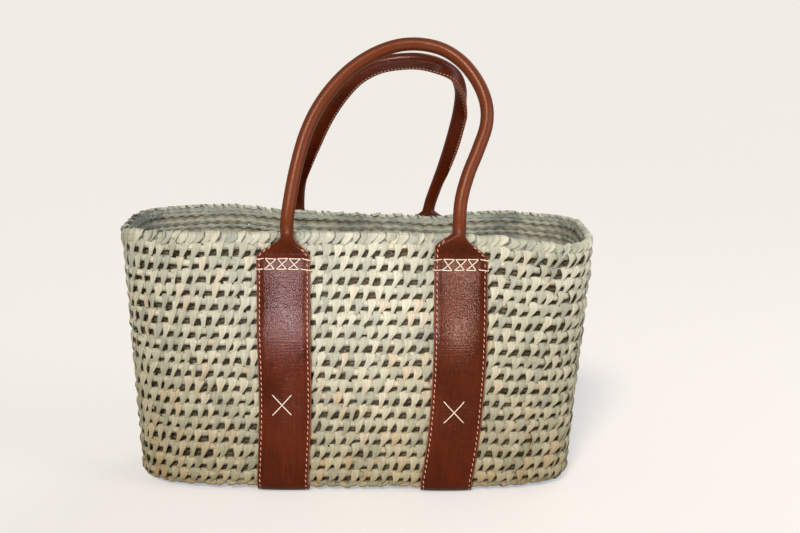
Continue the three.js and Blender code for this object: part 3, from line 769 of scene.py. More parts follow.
# how far up the flare each side of a tab starts and stops to narrow, left and right
EVEN_SHOULDERS = ((-0.13, 0.83), (-0.13, 0.83))
UNEVEN_SHOULDERS = ((0.35, 1.12), (-0.25, 0.9))
HIGH_SHOULDERS = ((0.3, 1.0), (0.3, 1.0))
STRAPS = {
    "front_left": {"top": -70, "foot": -74, "neck": -65.5, "cross": 93, "shoulders": EVEN_SHOULDERS},
    "front_right": {"top": 102, "foot": 91, "neck": 99.5, "cross": 86, "shoulders": UNEVEN_SHOULDERS},
    "rear_left": {"top": -71, "foot": -72, "neck": -71, "cross": 93, "shoulders": HIGH_SHOULDERS},
    "rear_right": {"top": 75, "foot": 87, "neck": 75, "cross": 86, "shoulders": HIGH_SHOULDERS},
}
# a handle's run from neck to neck, in shares of their distance and of its rise; its seam's turns; how much of
# the tubes' lighter colour it has, partly wear and partly painted light
HANDLES = {
    "front": {
        "rise": 201,
        "run": [
            (0, 0), (0.02, 0.15), (0.055, 0.33), (0.1, 0.49), (0.165, 0.63), (0.255, 0.755), (0.37, 0.865),
            (0.51, 0.95), (0.65, 0.995), (0.78, 1), (0.91, 0.97), (1.02, 0.9), (1.11, 0.79), (1.16, 0.665),
            (1.16, 0.55), (1.11, 0.41), (1.05, 0.27), (1.01, 0.13), (1, 0),
        ],
        "seam": [(0, -90), (1, -90)],
        "worn_and_lit": 1.0,
    },
    "rear": {
        "rise": 187,
        "run": [
            (0, 0), (0.01, 0.1), (0.05, 0.26), (0.13, 0.455), (0.23, 0.635), (0.335, 0.775), (0.46, 0.895),
            (0.61, 0.97), (0.78, 1), (0.93, 1), (1.07, 0.965), (1.17, 0.9), (1.215, 0.8), (1.21, 0.665),
            (1.18, 0.52), (1.14, 0.37), (1.095, 0.225), (1.045, 0.085), (1.015, 0),
        ],
        "seam": [(0, -90), (0.12, -10), (0.58, -10), (0.74, -150), (0.9, -150), (1, -90)],
        # the rear tube gets less of the lighter colour: painted shade, as it lies behind the front handle
        "worn_and_lit": 0.25,
    },
}

# %% Places on and off the wall
STRAP_BELLY, LACE_ROOM = 3.5, 15
LACE_SWELL, LACE_LINE = 1.4, 4


def wall_out(x, z):
    """How far out the wall's face is at x and a height above the floor."""
    height = z - BASE_UNDERSIDE
    half_length = BASE_LENGTH / 2 + (DEPTH_SLOPE + EXTRA_LENGTH_SLOPE) * height
    half_depth = BASE_DEPTH / 2 + DEPTH_SLOPE * height
    return half_depth * (1 - np.abs(x / half_length) ** PLAN_POWER) ** (1 / PLAN_POWER)


def off_wall(x, z, offset):
    """Points off the wall by an offset along its normal."""
    x, z, offset = np.broadcast_arrays(np.asarray(x, float), z, offset)
    slope_x = (wall_out(x + 1, z) - wall_out(x - 1, z)) / 2
    slope_z = (wall_out(x, z + 1) - wall_out(x, z - 1)) / 2
    size = np.sqrt(1 + slope_x ** 2 + slope_z ** 2)
    out = wall_out(x, z) + offset / size
    return np.stack([x - offset * slope_x / size, out, z - offset * slope_z / size], -1)


def strap_middle(strap, z):
    """How far along the bag a strap's middle is at a height. It is drawn aside towards its foot."""
    from_foot = min(1.0, (z - EDGE_TOP) / (STRAP_DRAW - EDGE_RADIUS))
    return strap["top"] + (strap["foot"] - strap["top"]) * (1 - from_foot) ** 2


def strap_belly(strap, z):
    """How far a strap stands off the wall, between its cross and its lacing and above its lacing."""
    share = np.clip((z - strap["cross"]) / (FOLD_HEIGHT - LACE_ROOM - strap["cross"]), 0, 1)
    swell = LACE_SWELL * np.clip((z - (FOLD_HEIGHT - LACE_LINE)) / LACE_LINE, 0, 1)
    return STRAP_BELLY * np.sin(math.pi * share) ** 2 + swell


def narrowing(strap, across, z):
    """How far points across a strap have gone from its own width to its neck's, at a height near the fold."""
    share = (z - FOLD_HEIGHT - FOLD_GAP / 2) / FLARE_LENGTH
    left, right = (smoothstep(share, *reach) for reach in strap["shoulders"])
    return left + (right - left) * (across / STRAP_WIDTH + 0.5)


# %% The rings of a strap, from the middle of the base to the fold
UNDER_RINGS, EDGE_RINGS, WALL_RINGS = 13, 10, 60


def strap_places(strap):
    """Functions from (across, offset) to places, one for each ring of a strap."""
    foot = strap["foot"]
    places = []
    flat_end = wall_out(float(foot), EDGE_TOP) - EDGE_RADIUS
    for out in np.linspace(1.0, flat_end, UNDER_RINGS + 1)[:-1]:
        places.append(lambda a, o, out=out: np.stack([foot + a, 0 * a + out, BASE_UNDERSIDE - o], -1))
    for turn in np.linspace(math.pi / 2, 0, EDGE_RINGS + 1)[:-1]:
        def on_edge(a, o, turn=turn):
            out = wall_out(foot + a, EDGE_TOP) - EDGE_RADIUS + (EDGE_RADIUS + o) * math.cos(turn)
            return np.stack([foot + a, out, EDGE_TOP - (EDGE_RADIUS + o) * math.sin(turn)], -1)
        places.append(on_edge)
    for z in np.linspace(EDGE_TOP, FOLD_HEIGHT - FOLD_GAP / 2, WALL_RINGS):
        def on_wall(a, o, z=z):
            x = strap_middle(strap, z) + a
            neck_x = strap["neck"] + a * 2 * TUBE_RADIUS / STRAP_WIDTH
            return off_wall(x + (neck_x - x) * narrowing(strap, a, z), z, o + strap_belly(strap, z))
        places.append(on_wall)
    return places


# %% The line of a handle's tube
CURVE_STEPS = 60


def run_along(points):
    """The distance from the first point to each point of a line."""
    return np.concatenate([[0], np.cumsum(np.linalg.norm(np.diff(points, axis=0), axis=1))])


def smooth_line(points, count):
    """Points at equal distances on a centripetal Catmull-Rom curve through the given ones, and tangents."""
    points = np.asarray(points, float)
    padded = np.vstack([2 * points[0] - points[1], points, 2 * points[-1] - points[-2]])
    fine = []
    for p0, p1, p2, p3 in zip(padded, padded[1:], padded[2:], padded[3:]):
        d0, d1, d2 = (np.linalg.norm(b - a) ** 0.5 for a, b in ((p0, p1), (p1, p2), (p2, p3)))
        m1 = ((p1 - p0) / d0 - (p2 - p0) / (d0 + d1) + (p2 - p1) / d1) * d1
        m2 = ((p2 - p1) / d1 - (p3 - p1) / (d1 + d2) + (p3 - p2) / d2) * d1
        t = np.linspace(0, 1, CURVE_STEPS, endpoint=False)[:, None]
        cubic, square = 2 * p1 - 2 * p2 + m1 + m2, -3 * p1 + 3 * p2 - 2 * m1 - m2
        fine.append(cubic * t ** 3 + square * t ** 2 + m1 * t + p1)
    fine = np.vstack([*fine, points[-1]])
    run = run_along(fine)
    even = np.linspace(0, run[-1], count)
    line = np.stack([np.interp(even, run, fine[:, i]) for i in range(3)], 1)
    tangents = np.gradient(line, axis=0)
    return line, tangents / np.linalg.norm(tangents, axis=1)[:, None]


def foot_place(strap, x, z, half_thickness):
    """The middle of a handle's tab or neck where it rests on the wall."""
    nearest = max(0.0, abs(strap["top"]) - STRAP_WIDTH / 2)
    return np.array([x, wall_out(nearest, z) + SEAT_GAP + half_thickness, z])


def tube_line(side, count):
    """The line of a handle's tube, from its left neck to its right one."""
    left, right = STRAPS[side + "_left"], STRAPS[side + "_right"]
    handle = HANDLES[side]
    bend = RIM_TOP + NECK_LENGTH
    neck = FOLD_HEIGHT + FOLD_GAP / 2 + FLARE_LENGTH
    free = FOLD_HEIGHT + handle["rise"] - bend
    out = foot_place(left, left["neck"], bend, TUBE_RADIUS)[1]
    span = right["neck"] - left["neck"]
    middle = [
        (left["neck"] + span * along, out - LEAN_DEPTH * up ** LEAN_POWER, bend + free * up)
        for along, up in handle["run"]
    ]
    first, last = (foot_place(strap, strap["neck"], neck, TUBE_RADIUS) for strap in (left, right))
    return smooth_line([first, *middle, last], count)


for side in HANDLES:
    print(side, "tube: %.0f mm long" % run_along(tube_line(side, 200)[0])[-1])

# %% [markdown]
# ## Leather sections
# One skin covers a whole side: strap, tab, tube, tab and strap. For that, every section has the same 41
# points in the same order. They start at the back, where the tube's seam is, pass an edge, cross the
# front, and come back. The flat section is a strap with rounded edges and a shallow groove where it is
# sewn. The round one is the tube, drawn out to the two raw edges of its seam. A tab is a mix of the two.

# %% Flat and round sections
BACK_SHARES = np.array([0.012, 0.05, 0.1, 0.17, 0.25, 0.37, 0.5, 0.62, 0.75, 0.85, 0.93, 0.985])
BACK_ACROSS = STRAP_WIDTH / 2 * BACK_SHARES
FRONT_ACROSS = STRAP_WIDTH / 2 - np.array([0.4, 1.3, 2.8, 4.2, 8, 13.5, 19.5])
FRONT_DROP = np.array([0.4, 0.1, 0.4, 0.05, -0.1, -0.25, -0.32])
FRONT_CROWN, BACK_ROUNDING = 0.35, 0.3
# how pale each point of the cut edge is, and the point where a raised seam runs into the tube
EDGE_POINTS = {11: 0.6, 12: 1.0, 13: 0.6}
FLANGE_END = 8


def both_sides(half, front):
    """A section from its right half and its middle point."""
    mirrored = half[::-1] * np.array([-1, 1])
    return np.vstack([half, front, mirrored])


def flat_section(low, high):
    """A flat strap between two offsets: across, and out of the wall."""
    back = np.stack([BACK_ACROSS, np.full(len(BACK_ACROSS), low)], 1)
    back[-1, 1] += BACK_ROUNDING
    edge = np.array([[STRAP_WIDTH / 2, (low + high) / 2]])
    front = np.stack([FRONT_ACROSS, high - FRONT_DROP], 1)
    return both_sides(np.vstack([back, edge, front]), np.array([[0, high + FRONT_CROWN]]))


def round_section(raised):
    """A tube with its seam at the back, against the second axis, raised from 0 to 1."""
    angles = np.radians(np.concatenate([[0.7, 5, 10, 15, 21], np.linspace(30, 171, 15)]))
    half = TUBE_RADIUS * np.stack([np.sin(angles), -np.cos(angles)], 1)
    reach = TUBE_RADIUS + SEAM_FLANGE
    thick = SEAM_THICKNESS / 2
    seam = np.array([(0.15, 0.5 - reach), (0.7, -reach), (thick, 0.5 - reach)])
    half[:3] += (seam - half[:3]) * raised
    blended = seam[2] + (half[FLANGE_END] - seam[2]) * np.linspace(0, 1, FLANGE_END - 1)[1:-1, None]
    half[3:FLANGE_END] += (blended - half[3:FLANGE_END]) * raised
    return both_sides(half, np.array([[0, TUBE_RADIUS]]))


def turned(section, angle):
    cos, sin = math.cos(angle), math.sin(angle)
    return section @ np.array([[cos, sin], [-sin, cos]])


def place_section(section, centre, tangent):
    """A section square to the tangent, with its second axis out of the bag."""
    first = np.cross((0, 1, 0), tangent)
    first /= np.linalg.norm(first)
    second = np.cross(tangent, first)
    return centre + section[:, :1] * first + section[:, 1:] * second


# %% The rings of one side's leather
TUBE_RINGS, TAB_RINGS = 170, 14
# a strap's swell and where it starts, and the waves of its swell and its sway along it
STRAP_SWELL, SWELL_START, SWELL_WAVE, SWAY_WAVE = 0.6, 0.32, 17, 11
# the shares of a tab in which its back opens and its lift ends, and how soon it fills out
TAB_OPENED, TAB_SETTLED, TAB_FILL_POWER = (0, 0.12), (0.3, 1.0), 1.6
SEAM_RISE = (0.02, 0.2)
BACK_OPENING = STRAP_STACK - OUTER_LEATHER - SEAT_GAP


def strap_rings(strap):
    """Rings of a strap's outer leather, with the slow swells of leather that lies by itself."""
    low, high = STRAP_STACK - OUTER_LEATHER, STRAP_STACK
    rings = []
    places = strap_places(strap)
    for number, place in enumerate(places):
        section = flat_section(low, high)
        share = number / len(places)
        calm = min(1.0, 6 * (1 - share)) * min(1.0, max(0.0, 5 * (share - SWELL_START)))
        bulge = STRAP_SWELL * calm * (0.5 + 0.5 * math.sin(SWELL_WAVE * share + strap["top"]))
        front = section[:, 1] > (low + high) / 2 + 0.1
        section[front, 1] += bulge * np.cos(section[front, 0] / STRAP_WIDTH * math.pi)
        sway = STRAP_SWELL * 0.5 * calm * math.sin(SWAY_WAVE * share + 0.05 * strap["top"])
        rings.append(place(section[:, 0] + sway, section[:, 1]))
    return np.array(rings)


def tab_rings(strap):
    """Rings of a tab from the fold to the neck: the flat section narrows and fills out to the round one."""
    x = strap["top"]
    neck = round_section(0)
    rings = []
    for share in np.arange(TAB_RINGS) / TAB_RINGS:
        z = FOLD_HEIGHT + FOLD_GAP / 2 + FLARE_LENGTH * share
        opened = STRAP_STACK - OUTER_LEATHER - BACK_OPENING * smoothstep(share, *TAB_OPENED)
        section = flat_section(opened, STRAP_STACK)
        lifted = LACE_SWELL * (1 - smoothstep(share, *TAB_SETTLED))
        flat = off_wall(x + section[:, 0], z, section[:, 1] + lifted)
        lean = math.atan(wall_out(x, z + 1.0) - wall_out(x, z))
        up_wall = np.array([0, math.sin(lean), math.cos(lean)])
        filled = 1 - (1 - share) ** TAB_FILL_POWER
        half = TAB_THICKNESS / 2 + (TUBE_RADIUS - TAB_THICKNESS / 2) * filled
        round_ring = place_section(neck, foot_place(strap, strap["neck"], z, half), up_wall)
        ring = flat + (round_ring - flat) * filled
        ring[:, 0] = flat[:, 0] + (round_ring[:, 0] - flat[:, 0]) * narrowing(strap, section[:, 0], z)
        rings.append(ring)
    return np.array(rings)


def tube_rings(side, section_at):
    """Rings along a handle's tube, each with the section for its share of the way."""
    line, tangents = tube_line(side, TUBE_RINGS)
    shares = np.linspace(0, 1, TUBE_RINGS)
    return np.array([place_section(section_at(s), p, t) for s, p, t in zip(shares, line, tangents)])


def seam_angle(side, share):
    """How far the seam has turned from the back of the tube."""
    stops = np.array(HANDLES[side]["seam"], float)
    return math.radians(90 + np.interp(share, stops[:, 0], stops[:, 1]))


def seam_raise(share):
    return float(smoothstep(min(share, 1 - share), *SEAM_RISE))


def sleeve_rings(side):
    """Rings of a handle's tube with its seam."""
    return tube_rings(side, lambda share: turned(round_section(seam_raise(share)), seam_angle(side, share)))


def to_frame(side, points):
    """Millimetres with +Y out of the bag become metres in the frame."""
    return np.asarray(points) * (MM, -MM if side == "front" else MM, MM)


# %% [markdown]
# ## The leather of a side
# Strap, tab and tube are one hide in the photograph, so they are one piece here. The tube is hollow, with
# the cord inside it. The lining is a second, thinner leather between the strap and the wall.

# %% Make the two sides
FOLD_START, FOLD_END = FOLD_HEIGHT - 1.0, FOLD_HEIGHT + 7.0
WORN_FADE = 9


def fold_points(side):
    """The start and end of the fold."""
    out = wall_out(0.0, FOLD_HEIGHT) + STRAP_STACK
    return [tuple(to_frame(side, (0, out, z))) for z in (FOLD_START, FOLD_END)]


def leather_marks(side, before, shape):
    """The attributes of a side's leather, which has a number of rings before its tube."""
    edge = np.zeros(shape)
    on_strap = np.ones(shape[0], bool)
    on_strap[before:before + TUBE_RINGS] = False
    for point, paleness in EDGE_POINTS.items():
        edge[on_strap, point] = edge[on_strap, -1 - point] = paleness
    raised = np.array([seam_raise(s) for s in np.linspace(0, 1, TUBE_RINGS)])
    edge[~on_strap, 0] = edge[~on_strap, -1] = raised
    edge[~on_strap, 1] = edge[~on_strap, -2] = 0.7 * raised
    number = np.arange(shape[0])
    from_neck = np.minimum(number - before, before + TUBE_RINGS - number)
    on_tube = smoothstep(from_neck, -WORN_FADE, WORN_FADE)[:, None]
    # the lighter colour falls off from the front of each tube towards its sides: painted light and shade
    from_front = np.abs(np.linspace(-1, 1, shape[1]))
    worn_and_lit = HANDLES[side]["worn_and_lit"] * on_tube * (1 - 0.85 * smoothstep(from_front, 0.1, 0.5))
    return {"edge": edge, "worn_and_lit": worn_and_lit, "tube": np.broadcast_to(on_tube, shape)}


def side_leather(side):
    straps = [STRAPS[f"{side}_{end}"] for end in ("left", "right")]
    near, far = (np.concatenate([strap_rings(strap), tab_rings(strap)]) for strap in straps)
    # the far end is met from its tube, so its order turns round and its left and right change places
    rings = np.concatenate([near, sleeve_rings(side), far[::-1, ::-1]])
    marks = leather_marks(side, len(near), rings.shape[:2])
    leather = lofted(f"{side}_leather", to_frame(side, rings), attributes=marks)
    bore = tube_rings(side, lambda share: round_section(0) * (1 - SLEEVE_WALL / TUBE_RADIUS))
    hollow = lofted(f"{side}_bore", to_frame(side, bore), attributes={"edge": np.zeros(bore.shape[:2])})
    edit_all(hollow, bpy.ops.mesh.flip_normals)
    return join_as(f"{side}_leather", [leather, hollow])


for side in HANDLES:
    leather = side_leather(side)
    set_material(leather, cognac)
    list(fold_points(side))
    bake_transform(leather)
    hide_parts(f"{side}_left_strap", f"{side}_right_strap", f"{side}_handle_sleeve")
    print(leather.name, len(leather.data.polygons), "faces")

# %% Linings
LINING_WIDTH_SHARE = 0.992
for name, strap in STRAPS.items():
    side = name.split("_")[0]
    section = flat_section(SEAT_GAP, SEAT_GAP + LINING_LEATHER) * (LINING_WIDTH_SHARE, 1)
    section[:, 1] = np.clip(section[:, 1], SEAT_GAP, SEAT_GAP + LINING_LEATHER)
    rings = np.array([place(section[:, 0], section[:, 1]) for place in strap_places(strap)])
    edge = np.zeros(rings.shape[:2])
    for point in EDGE_POINTS:
        edge[:, point] = edge[:, -1 - point] = 1.0
    lining = lofted(f"{name}_lining_leather", to_frame(side, rings), attributes={"edge": edge})
    set_material(lining, suede)
    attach(lining, "basket")
    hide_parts(f"{name}_lining")
print("linings:", len(STRAPS))

# %% [markdown]
# ## Thread
# The edges are sewn by machine in a thin tan thread, and the straps are laced on by hand in a thicker
# cream one. Both are twisted from two plies, which shows as fine slanting ridges, so a lace is lofted
# from a section with two lobes that turns as it goes. A machine stitch is a small bead that is modelled
# once and copied along the edges.


# %% Thread materials
def thread_material(name, dark, light, twist_length):
    material, tree = new_material(name)
    place = add_node(tree, "ShaderNodeTexCoord").outputs["Object"]
    fuzz = add_node(tree, "ShaderNodeTexNoise", {
        "Vector": place, "Scale": 1 / (twist_length * MM), "Detail": 4.0,
    }).outputs["Fac"]
    colours = add_node(tree, "ShaderNodeValToRGB", {"Fac": fuzz}, stops=[(0.32, dark), (0.62, light)])
    bump = add_node(tree, "ShaderNodeBump", {"Height": fuzz, "Strength": 0.4, "Distance": 0.2 * MM})
    shader = add_node(tree, "ShaderNodeBsdfPrincipled", {
        "Base Color": colours.outputs["Color"], "Normal": bump.outputs["Normal"],
        "Roughness": 0.7, "IOR": 1.5,
    })
    add_node(tree, "ShaderNodeOutputMaterial", {"Surface": shader.outputs["BSDF"]})
    return material


cream_thread = thread_material("waxed_cream_thread", "#dcc8ac", "#f6e8d6", 1.2)
tan_thread = thread_material("tan_sewing_thread", "#c08a72", "#e6bca6", 0.9)
cotton_cord = thread_material("twisted_cotton_cord", "#a98d5f", "#c9b083", 2.0)
print("materials:", cream_thread.name, tan_thread.name, cotton_cord.name)

# %% Model a sewing stitch
SEW_PITCH, SEW_LENGTH, SEW_RADIUS, SEW_SLANT = 5.7, 4.0, 0.55, 0.25
SEAM_SEW_SIZE, SEWN_SHARE, SEAM_END_RINGS = 0.65, 0.6, 20
# the points of a flat section in its sewn groove, and on its back behind that
GROOVE_POINT, BACK_POINT = 15, 9
bpy.ops.object.select_all(action="DESELECT")
bpy.ops.mesh.primitive_uv_sphere_add(segments=6, ring_count=6, radius=1)
sewing = bpy.context.object
edit_all(sewing, bpy.ops.transform.resize, value=(SEW_RADIUS, SEW_RADIUS * 0.8, SEW_LENGTH / 2))
bpy.ops.object.shade_smooth()
print("sewing stitch:", len(sewing.data.polygons), "faces")


# %% Copy it along lines
def unit(vectors):
    return vectors / np.linalg.norm(vectors, axis=1)[:, None]


def sewn_along(model, name, lines):
    """Copies of a stitch at equal steps along lines of (point, normal, size), in millimetres."""
    spots, alongs, outs, sizes = [], [], [], []
    for points, normals, size in lines:
        run = run_along(points)
        at = np.arange(SEW_PITCH / 2, run[-1], SEW_PITCH * size)
        sizes.append(np.full(len(at), size))
        ahead = np.stack([np.interp(at + 0.5, run, points[:, i]) for i in range(3)], 1)
        behind = np.stack([np.interp(at - 0.5, run, points[:, i]) for i in range(3)], 1)
        spots.append((ahead + behind) / 2)
        alongs.append(unit(ahead - behind))
        outs.append(np.stack([np.interp(at, run, normals[:, i]) for i in range(3)], 1))
    spots, alongs, outs, sizes = map(np.concatenate, (spots, alongs, outs, sizes))
    alongs = unit(alongs - SEW_SLANT * unit(np.cross(outs, alongs)))
    across = unit(np.cross(outs, alongs))
    outs = np.cross(alongs, across)
    row = copies_in_row(model, name, len(spots), 0.0)
    shape = get_points(row).reshape(len(spots), -1, 3) * sizes[:, None, None]
    placed = spots[:, None] + shape[..., :1] * across[:, None] + shape[..., 1:2] * outs[:, None]
    return row, placed + shape[..., 2:] * alongs[:, None]


def edge_lines(strap):
    """The sewn lines on a strap's two edges. Each ends where its shoulder has mostly narrowed."""
    lines = []
    left, right = (-1 - GROOVE_POINT, -1 - BACK_POINT), (GROOVE_POINT, BACK_POINT)
    for (start, stop), (index, inner) in zip(strap["shoulders"], (left, right)):
        sewn_tab = tab_rings(strap)[:round(TAB_RINGS * (start + SEWN_SHARE * (stop - start)))]
        rings = np.concatenate([strap_rings(strap), sewn_tab])
        lines.append((rings[:, index], unit(rings[:, index] - rings[:, inner]), 1.0))
    return lines


def seam_lines(side):
    """The sewn lines on the two faces of a tube's seam."""
    tube = sleeve_rings(side)[SEAM_END_RINGS:-SEAM_END_RINGS]
    right, left = ((tube[:, near] + tube[:, far]) / 2 for near, far in ((2, 3), (-3, -4)))
    return [(right, unit(right - left), SEAM_SEW_SIZE), (left, unit(left - right), SEAM_SEW_SIZE)]


for side in HANDLES:
    lines = edge_lines(STRAPS[f"{side}_left"]) + edge_lines(STRAPS[f"{side}_right"]) + seam_lines(side)
    sewn, placed = sewn_along(sewing, f"{side}_edge_stitching", lines)
    set_points(sewn, to_frame(side, placed.reshape(-1, 3)))
    edit_all(sewn, bpy.ops.mesh.normals_make_consistent, inside=False)
    set_material(sewn, tan_thread)
    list(fold_points(side))
    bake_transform(sewn)
    print(sewn.name, len(placed), "stitches")
bpy.data.objects.remove(sewing)

# %% [markdown]
# ## Lacing and crosses
# Two rows of cream thread hold each strap just below the fold. Each row comes round one edge of the strap
# and leaves round the other, and three crosses join the rows, with a bar above and below each. One large
# cross holds the strap lower down. Each run of thread dips into its holes at the ends and stands a little
# proud in the middle. No two runs are quite alike, because they are sewn by hand.

# %% Twisted threads
LACE_RADIUS, LACE_DROP, LACE_HEIGHT = 0.56, 3.5, 10.5
LACE_CROSS_PITCH, LACE_TOP_WIDTH, LACE_FOOT_WIDTH, LACE_FOOT_SHIFT = 11.6, 10.2, 9.4, -1.8
CROSS_WIDTH, CROSS_HEIGHT, CROSS_SHIFT, CROSS_RISE = 20.5, 23, -2.6, 1.2
LACE_OFFSET = STRAP_STACK + SEAT_GAP + LACE_RADIUS
LACE_DIP, HOLE_STRAY = 1.1, 0.25
LACE_POINTS, DIP_STEEPNESS = 9, 9
# where the rows end: a hole's place across the strap and above the low row, and the drop to the edge
LACE_ENDS = [(-18.6, LACE_HEIGHT, 1.0), (-19.2, 0, 0.2), (18.4, LACE_HEIGHT, 1.8), (17.0, 0.3, 1.4)]
PLY_TURN, PLIES = 5.0, 2
THREAD_SIDES, THREAD_STEP = 10, 0.8
ASIDE = (0.3, 0.1, 1)


def thread(points):
    """A twisted thread through points in millimetres, as rings."""
    length = run_along(points)[-1]
    line, tangents = smooth_line(points, max(8, round(length / THREAD_STEP)))
    first = unit(np.cross(np.broadcast_to(ASIDE, tangents.shape), tangents))[:, None]
    second = np.cross(tangents, first[:, 0])[:, None]
    angle = np.linspace(0, 2 * math.pi, THREAD_SIDES + 1)[:-1]
    turn = np.linspace(0, length / PLY_TURN * 2 * math.pi, len(line))[:, None]
    size = LACE_RADIUS * (0.9 + 0.13 * np.cos(PLIES * (angle - turn)))[..., None]
    return line[:, None] + size * (np.cos(angle)[:, None] * first + np.sin(angle)[:, None] * second)


def strap_spot(strap):
    """A function from across, height and offset to places on a strap."""
    def spot(across, z, offset):
        middle = strap_middle(strap, float(np.mean(z)))
        return off_wall(middle + across, z, offset + strap_belly(strap, z))
    return spot


def lace_between(spot, start, end, proud):
    """A thread from hole to hole on the strap: it dips at both ends and bows outwards between."""
    shares = np.linspace(0, 1, LACE_POINTS)
    dip = -LACE_DIP * np.maximum(0, 1 - np.minimum(shares, 1 - shares) * DIP_STEEPNESS)
    x = start[0] + (end[0] - start[0]) * shares
    z = start[1] + (end[1] - start[1]) * shares
    return spot(x, z, LACE_OFFSET + dip + proud * np.sin(math.pi * shares))


def lace_round_edge(spot, hole, drop):
    """A thread from a hole to the strap's edge on its side, and round it into the weave."""
    outer = STRAP_WIDTH / 2 + SEAT_GAP + LACE_RADIUS
    reach = np.array([abs(hole[0]), abs(hole[0]) + 1.5, outer - 4, outer - 1, outer, outer])
    offsets = LACE_OFFSET + np.array([-LACE_DIP, 0, 0, -0.3, -1.6, -6.4])
    heights = hole[1] - drop * (reach - reach[0]) / (outer - reach[0])
    return spot(np.sign(hole[0]) * reach, heights, offsets)


# %% Lace the straps
def lacing_threads(strap):
    spot = strap_spot(strap)
    top, low = FOLD_HEIGHT - LACE_DROP, FOLD_HEIGHT - LACE_DROP - LACE_HEIGHT
    threads = [lace_round_edge(spot, (across, low + above), drop) for across, above, drop in LACE_ENDS]
    for number in (-1, 0, 1):
        middle = number * LACE_CROSS_PITCH
        foot = middle + LACE_FOOT_SHIFT
        holes = np.array([
            (middle - LACE_TOP_WIDTH / 2, top), (middle + LACE_TOP_WIDTH / 2, top),
            (foot - LACE_FOOT_WIDTH / 2, low), (foot + LACE_FOOT_WIDTH / 2, low),
        ])
        holes = holes + rng.normal(0, HOLE_STRAY, (4, 2))
        for start, end, proud in ((0, 1, 0.1), (2, 3, 0.1), (0, 3, 0.2), (1, 2, 1.1)):
            threads.append(lace_between(spot, holes[start], holes[end], proud))
    return threads


def cross_threads(strap):
    spot = strap_spot(strap)
    left, right = CROSS_SHIFT - CROSS_WIDTH / 2, CROSS_SHIFT + CROSS_WIDTH / 2
    middle = strap["cross"] + CROSS_RISE
    high, low = middle + CROSS_HEIGHT / 2, middle - CROSS_HEIGHT / 2
    under = lace_between(spot, (left, high), (right, low), 0.2)
    return [under, lace_between(spot, (right, high), (left, low), 1.2)]


for name, strap in STRAPS.items():
    side = name.split("_")[0]
    for kind, threads in (("lacing", lacing_threads(strap)), ("cross", cross_threads(strap))):
        pieces = [lofted("lace", to_frame(side, thread(points))) for points in threads]
        laced = join_as(f"{name}_{kind}_thread", pieces)
        set_material(laced, cream_thread)
        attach(laced, "basket")
        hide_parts(f"{name}_{kind}")
print("lacings and crosses:", 2 * len(STRAPS))

# %% The cords inside the handles
CORD_RADIUS, CORD_LAY, CORD_STRANDS, CORD_SIDES = 3.6, 24.0, 3, 18
for side in HANDLES:
    length = run_along(tube_line(side, TUBE_RINGS)[0])[-1]
    angle = np.linspace(0, 2 * math.pi, CORD_SIDES + 1)[:-1]

    def cord_section(share):
        turn = share * length / CORD_LAY * 2 * math.pi
        size = CORD_RADIUS * (0.9 + 0.1 * np.cos(CORD_STRANDS * angle - turn))
        return np.stack([size * np.cos(angle), size * np.sin(angle)], 1)

    cord = lofted(f"{side}_core_cord", to_frame(side, tube_rings(side, cord_section)[1:-1]))
    set_material(cord, cotton_cord)
    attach(cord, f"{side}_handle")
    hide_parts(f"{side}_handle_core")
print("cords: 2")

# %% [markdown]
# ## Floor and light
# The bag stands on a plain pale floor. A broad sun from the front left, a weak one from the rear, an even
# sky and a weak lamp from the right keep every colour about as bright as it was chosen. Two low strips of
# light, out of the picture and narrow in spread so that they miss the floor, are what the polished straps
# mirror. The floor and the far background are made paler for the camera alone, so that they add no light
# to the bag, and the floor keeps the bag's shadow.

# %% Floor
FLOOR_SIZE, FLOOR_GLOW = 30, 0.458
bpy.ops.object.select_all(action="DESELECT")
bpy.ops.mesh.primitive_plane_add(size=FLOOR_SIZE)
floor = bpy.context.object
floor.name = "floor"
floor_paint, tree = new_material("pale_matt_floor")
paint = add_node(tree, "ShaderNodeBsdfPrincipled", {"Base Color": linear("#cdc2b0"), "Roughness": 0.9})
seen = add_node(tree, "ShaderNodeLightPath").outputs["Is Camera Ray"]
pale = add_node(tree, "ShaderNodeMath", {0: seen, 1: FLOOR_GLOW}, operation="MULTIPLY")
glow = add_node(tree, "ShaderNodeEmission", {"Color": linear("#eef3fc"), "Strength": pale.outputs["Value"]})
both = add_node(tree, "ShaderNodeAddShader", {0: paint.outputs["BSDF"], 1: glow.outputs["Emission"]})
add_node(tree, "ShaderNodeOutputMaterial", {"Surface": both.outputs["Shader"]})
floor.data.materials.append(floor_paint)
print("floor: %d m wide" % FLOOR_SIZE)

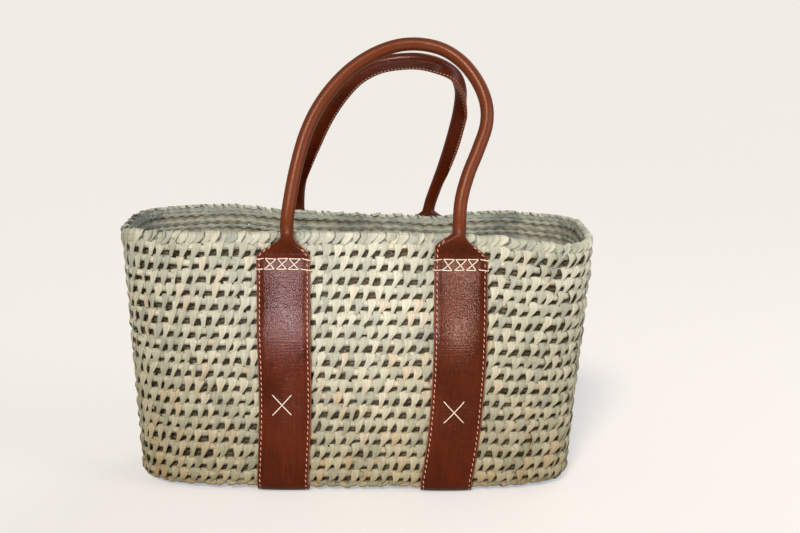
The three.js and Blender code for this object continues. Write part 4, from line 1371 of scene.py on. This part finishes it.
# %% Sky
SKY_STRENGTH = 0.32
world = bpy.data.worlds.new("soft_sky")
bpy.context.scene.world = world
world.use_nodes = True
tree = world.node_tree
tree.nodes.clear()
seen = add_node(tree, "ShaderNodeLightPath").outputs["Is Camera Ray"]
sky = add_node(tree, "ShaderNodeBackground", {"Color": linear("#f0f1f2"), "Strength": SKY_STRENGTH})
backdrop = add_node(tree, "ShaderNodeBackground", {"Color": linear("#f1ece4"), "Strength": 1.0})
both = add_node(tree, "ShaderNodeMixShader", {
    0: seen, 1: sky.outputs["Background"], 2: backdrop.outputs["Background"],
})
add_node(tree, "ShaderNodeOutputWorld", {"Surface": both.outputs["Shader"]})
print("sky strength:", SKY_STRENGTH)

# %% Lamps
# each sun's side and height in degrees, its strength, its width in degrees and its colour
SUNS = [("front_sun", -14, 36, 2.25, 12, "#fff8ee"), ("rear_sun", 140, 42, 0.5, 45, "#f4f6ff")]
# each lamp's place, its size in metres, its spread in degrees, its power and its colour
LAMPS = [
    ("right_fill", (1.8, -0.8, 1.1), (1.0, 1.0), 180, 12, "#eef3ff"),
    ("left_strip", (-0.12, -0.6, 0.08), (0.1, 0.14), 55, 0.115, "#e2e8ff"),
    ("right_strip", (0.155, -0.6, 0.08), (0.07, 0.14), 55, 0.075, "#fff0e6"),
]
LAMP_TARGET = (0, 0, 0.2)


def add_lamp(kind, name, power, colour, place, target):
    """A lamp at a place, aimed at a target."""
    bpy.ops.object.light_add(type=kind)
    lamp = bpy.context.object
    lamp.name = name
    lamp.data.energy = power
    lamp.data.color = linear(colour)[:3]
    lamp.location = place
    lamp.rotation_euler = (Vector(target) - Vector(place)).to_track_quat("-Z", "Y").to_euler()
    return lamp.data


for name, side, height, power, width, colour in SUNS:
    side, height = math.radians(side), math.radians(height)
    level = math.cos(height)
    towards = (math.sin(side) * level, -math.cos(side) * level, math.sin(height))
    sun = add_lamp("SUN", name, power, colour, towards, (0, 0, 0))
    sun.angle = math.radians(width)
for name, place, size, spread, power, colour in LAMPS:
    lamp = add_lamp("AREA", name, power, colour, place, LAMP_TARGET)
    lamp.shape = "RECTANGLE"
    lamp.size, lamp.size_y = size
    lamp.spread = math.radians(spread)
bpy.context.scene.view_settings.view_transform = "Standard"
print("lamps:", len(LAMPS) + len(SUNS))
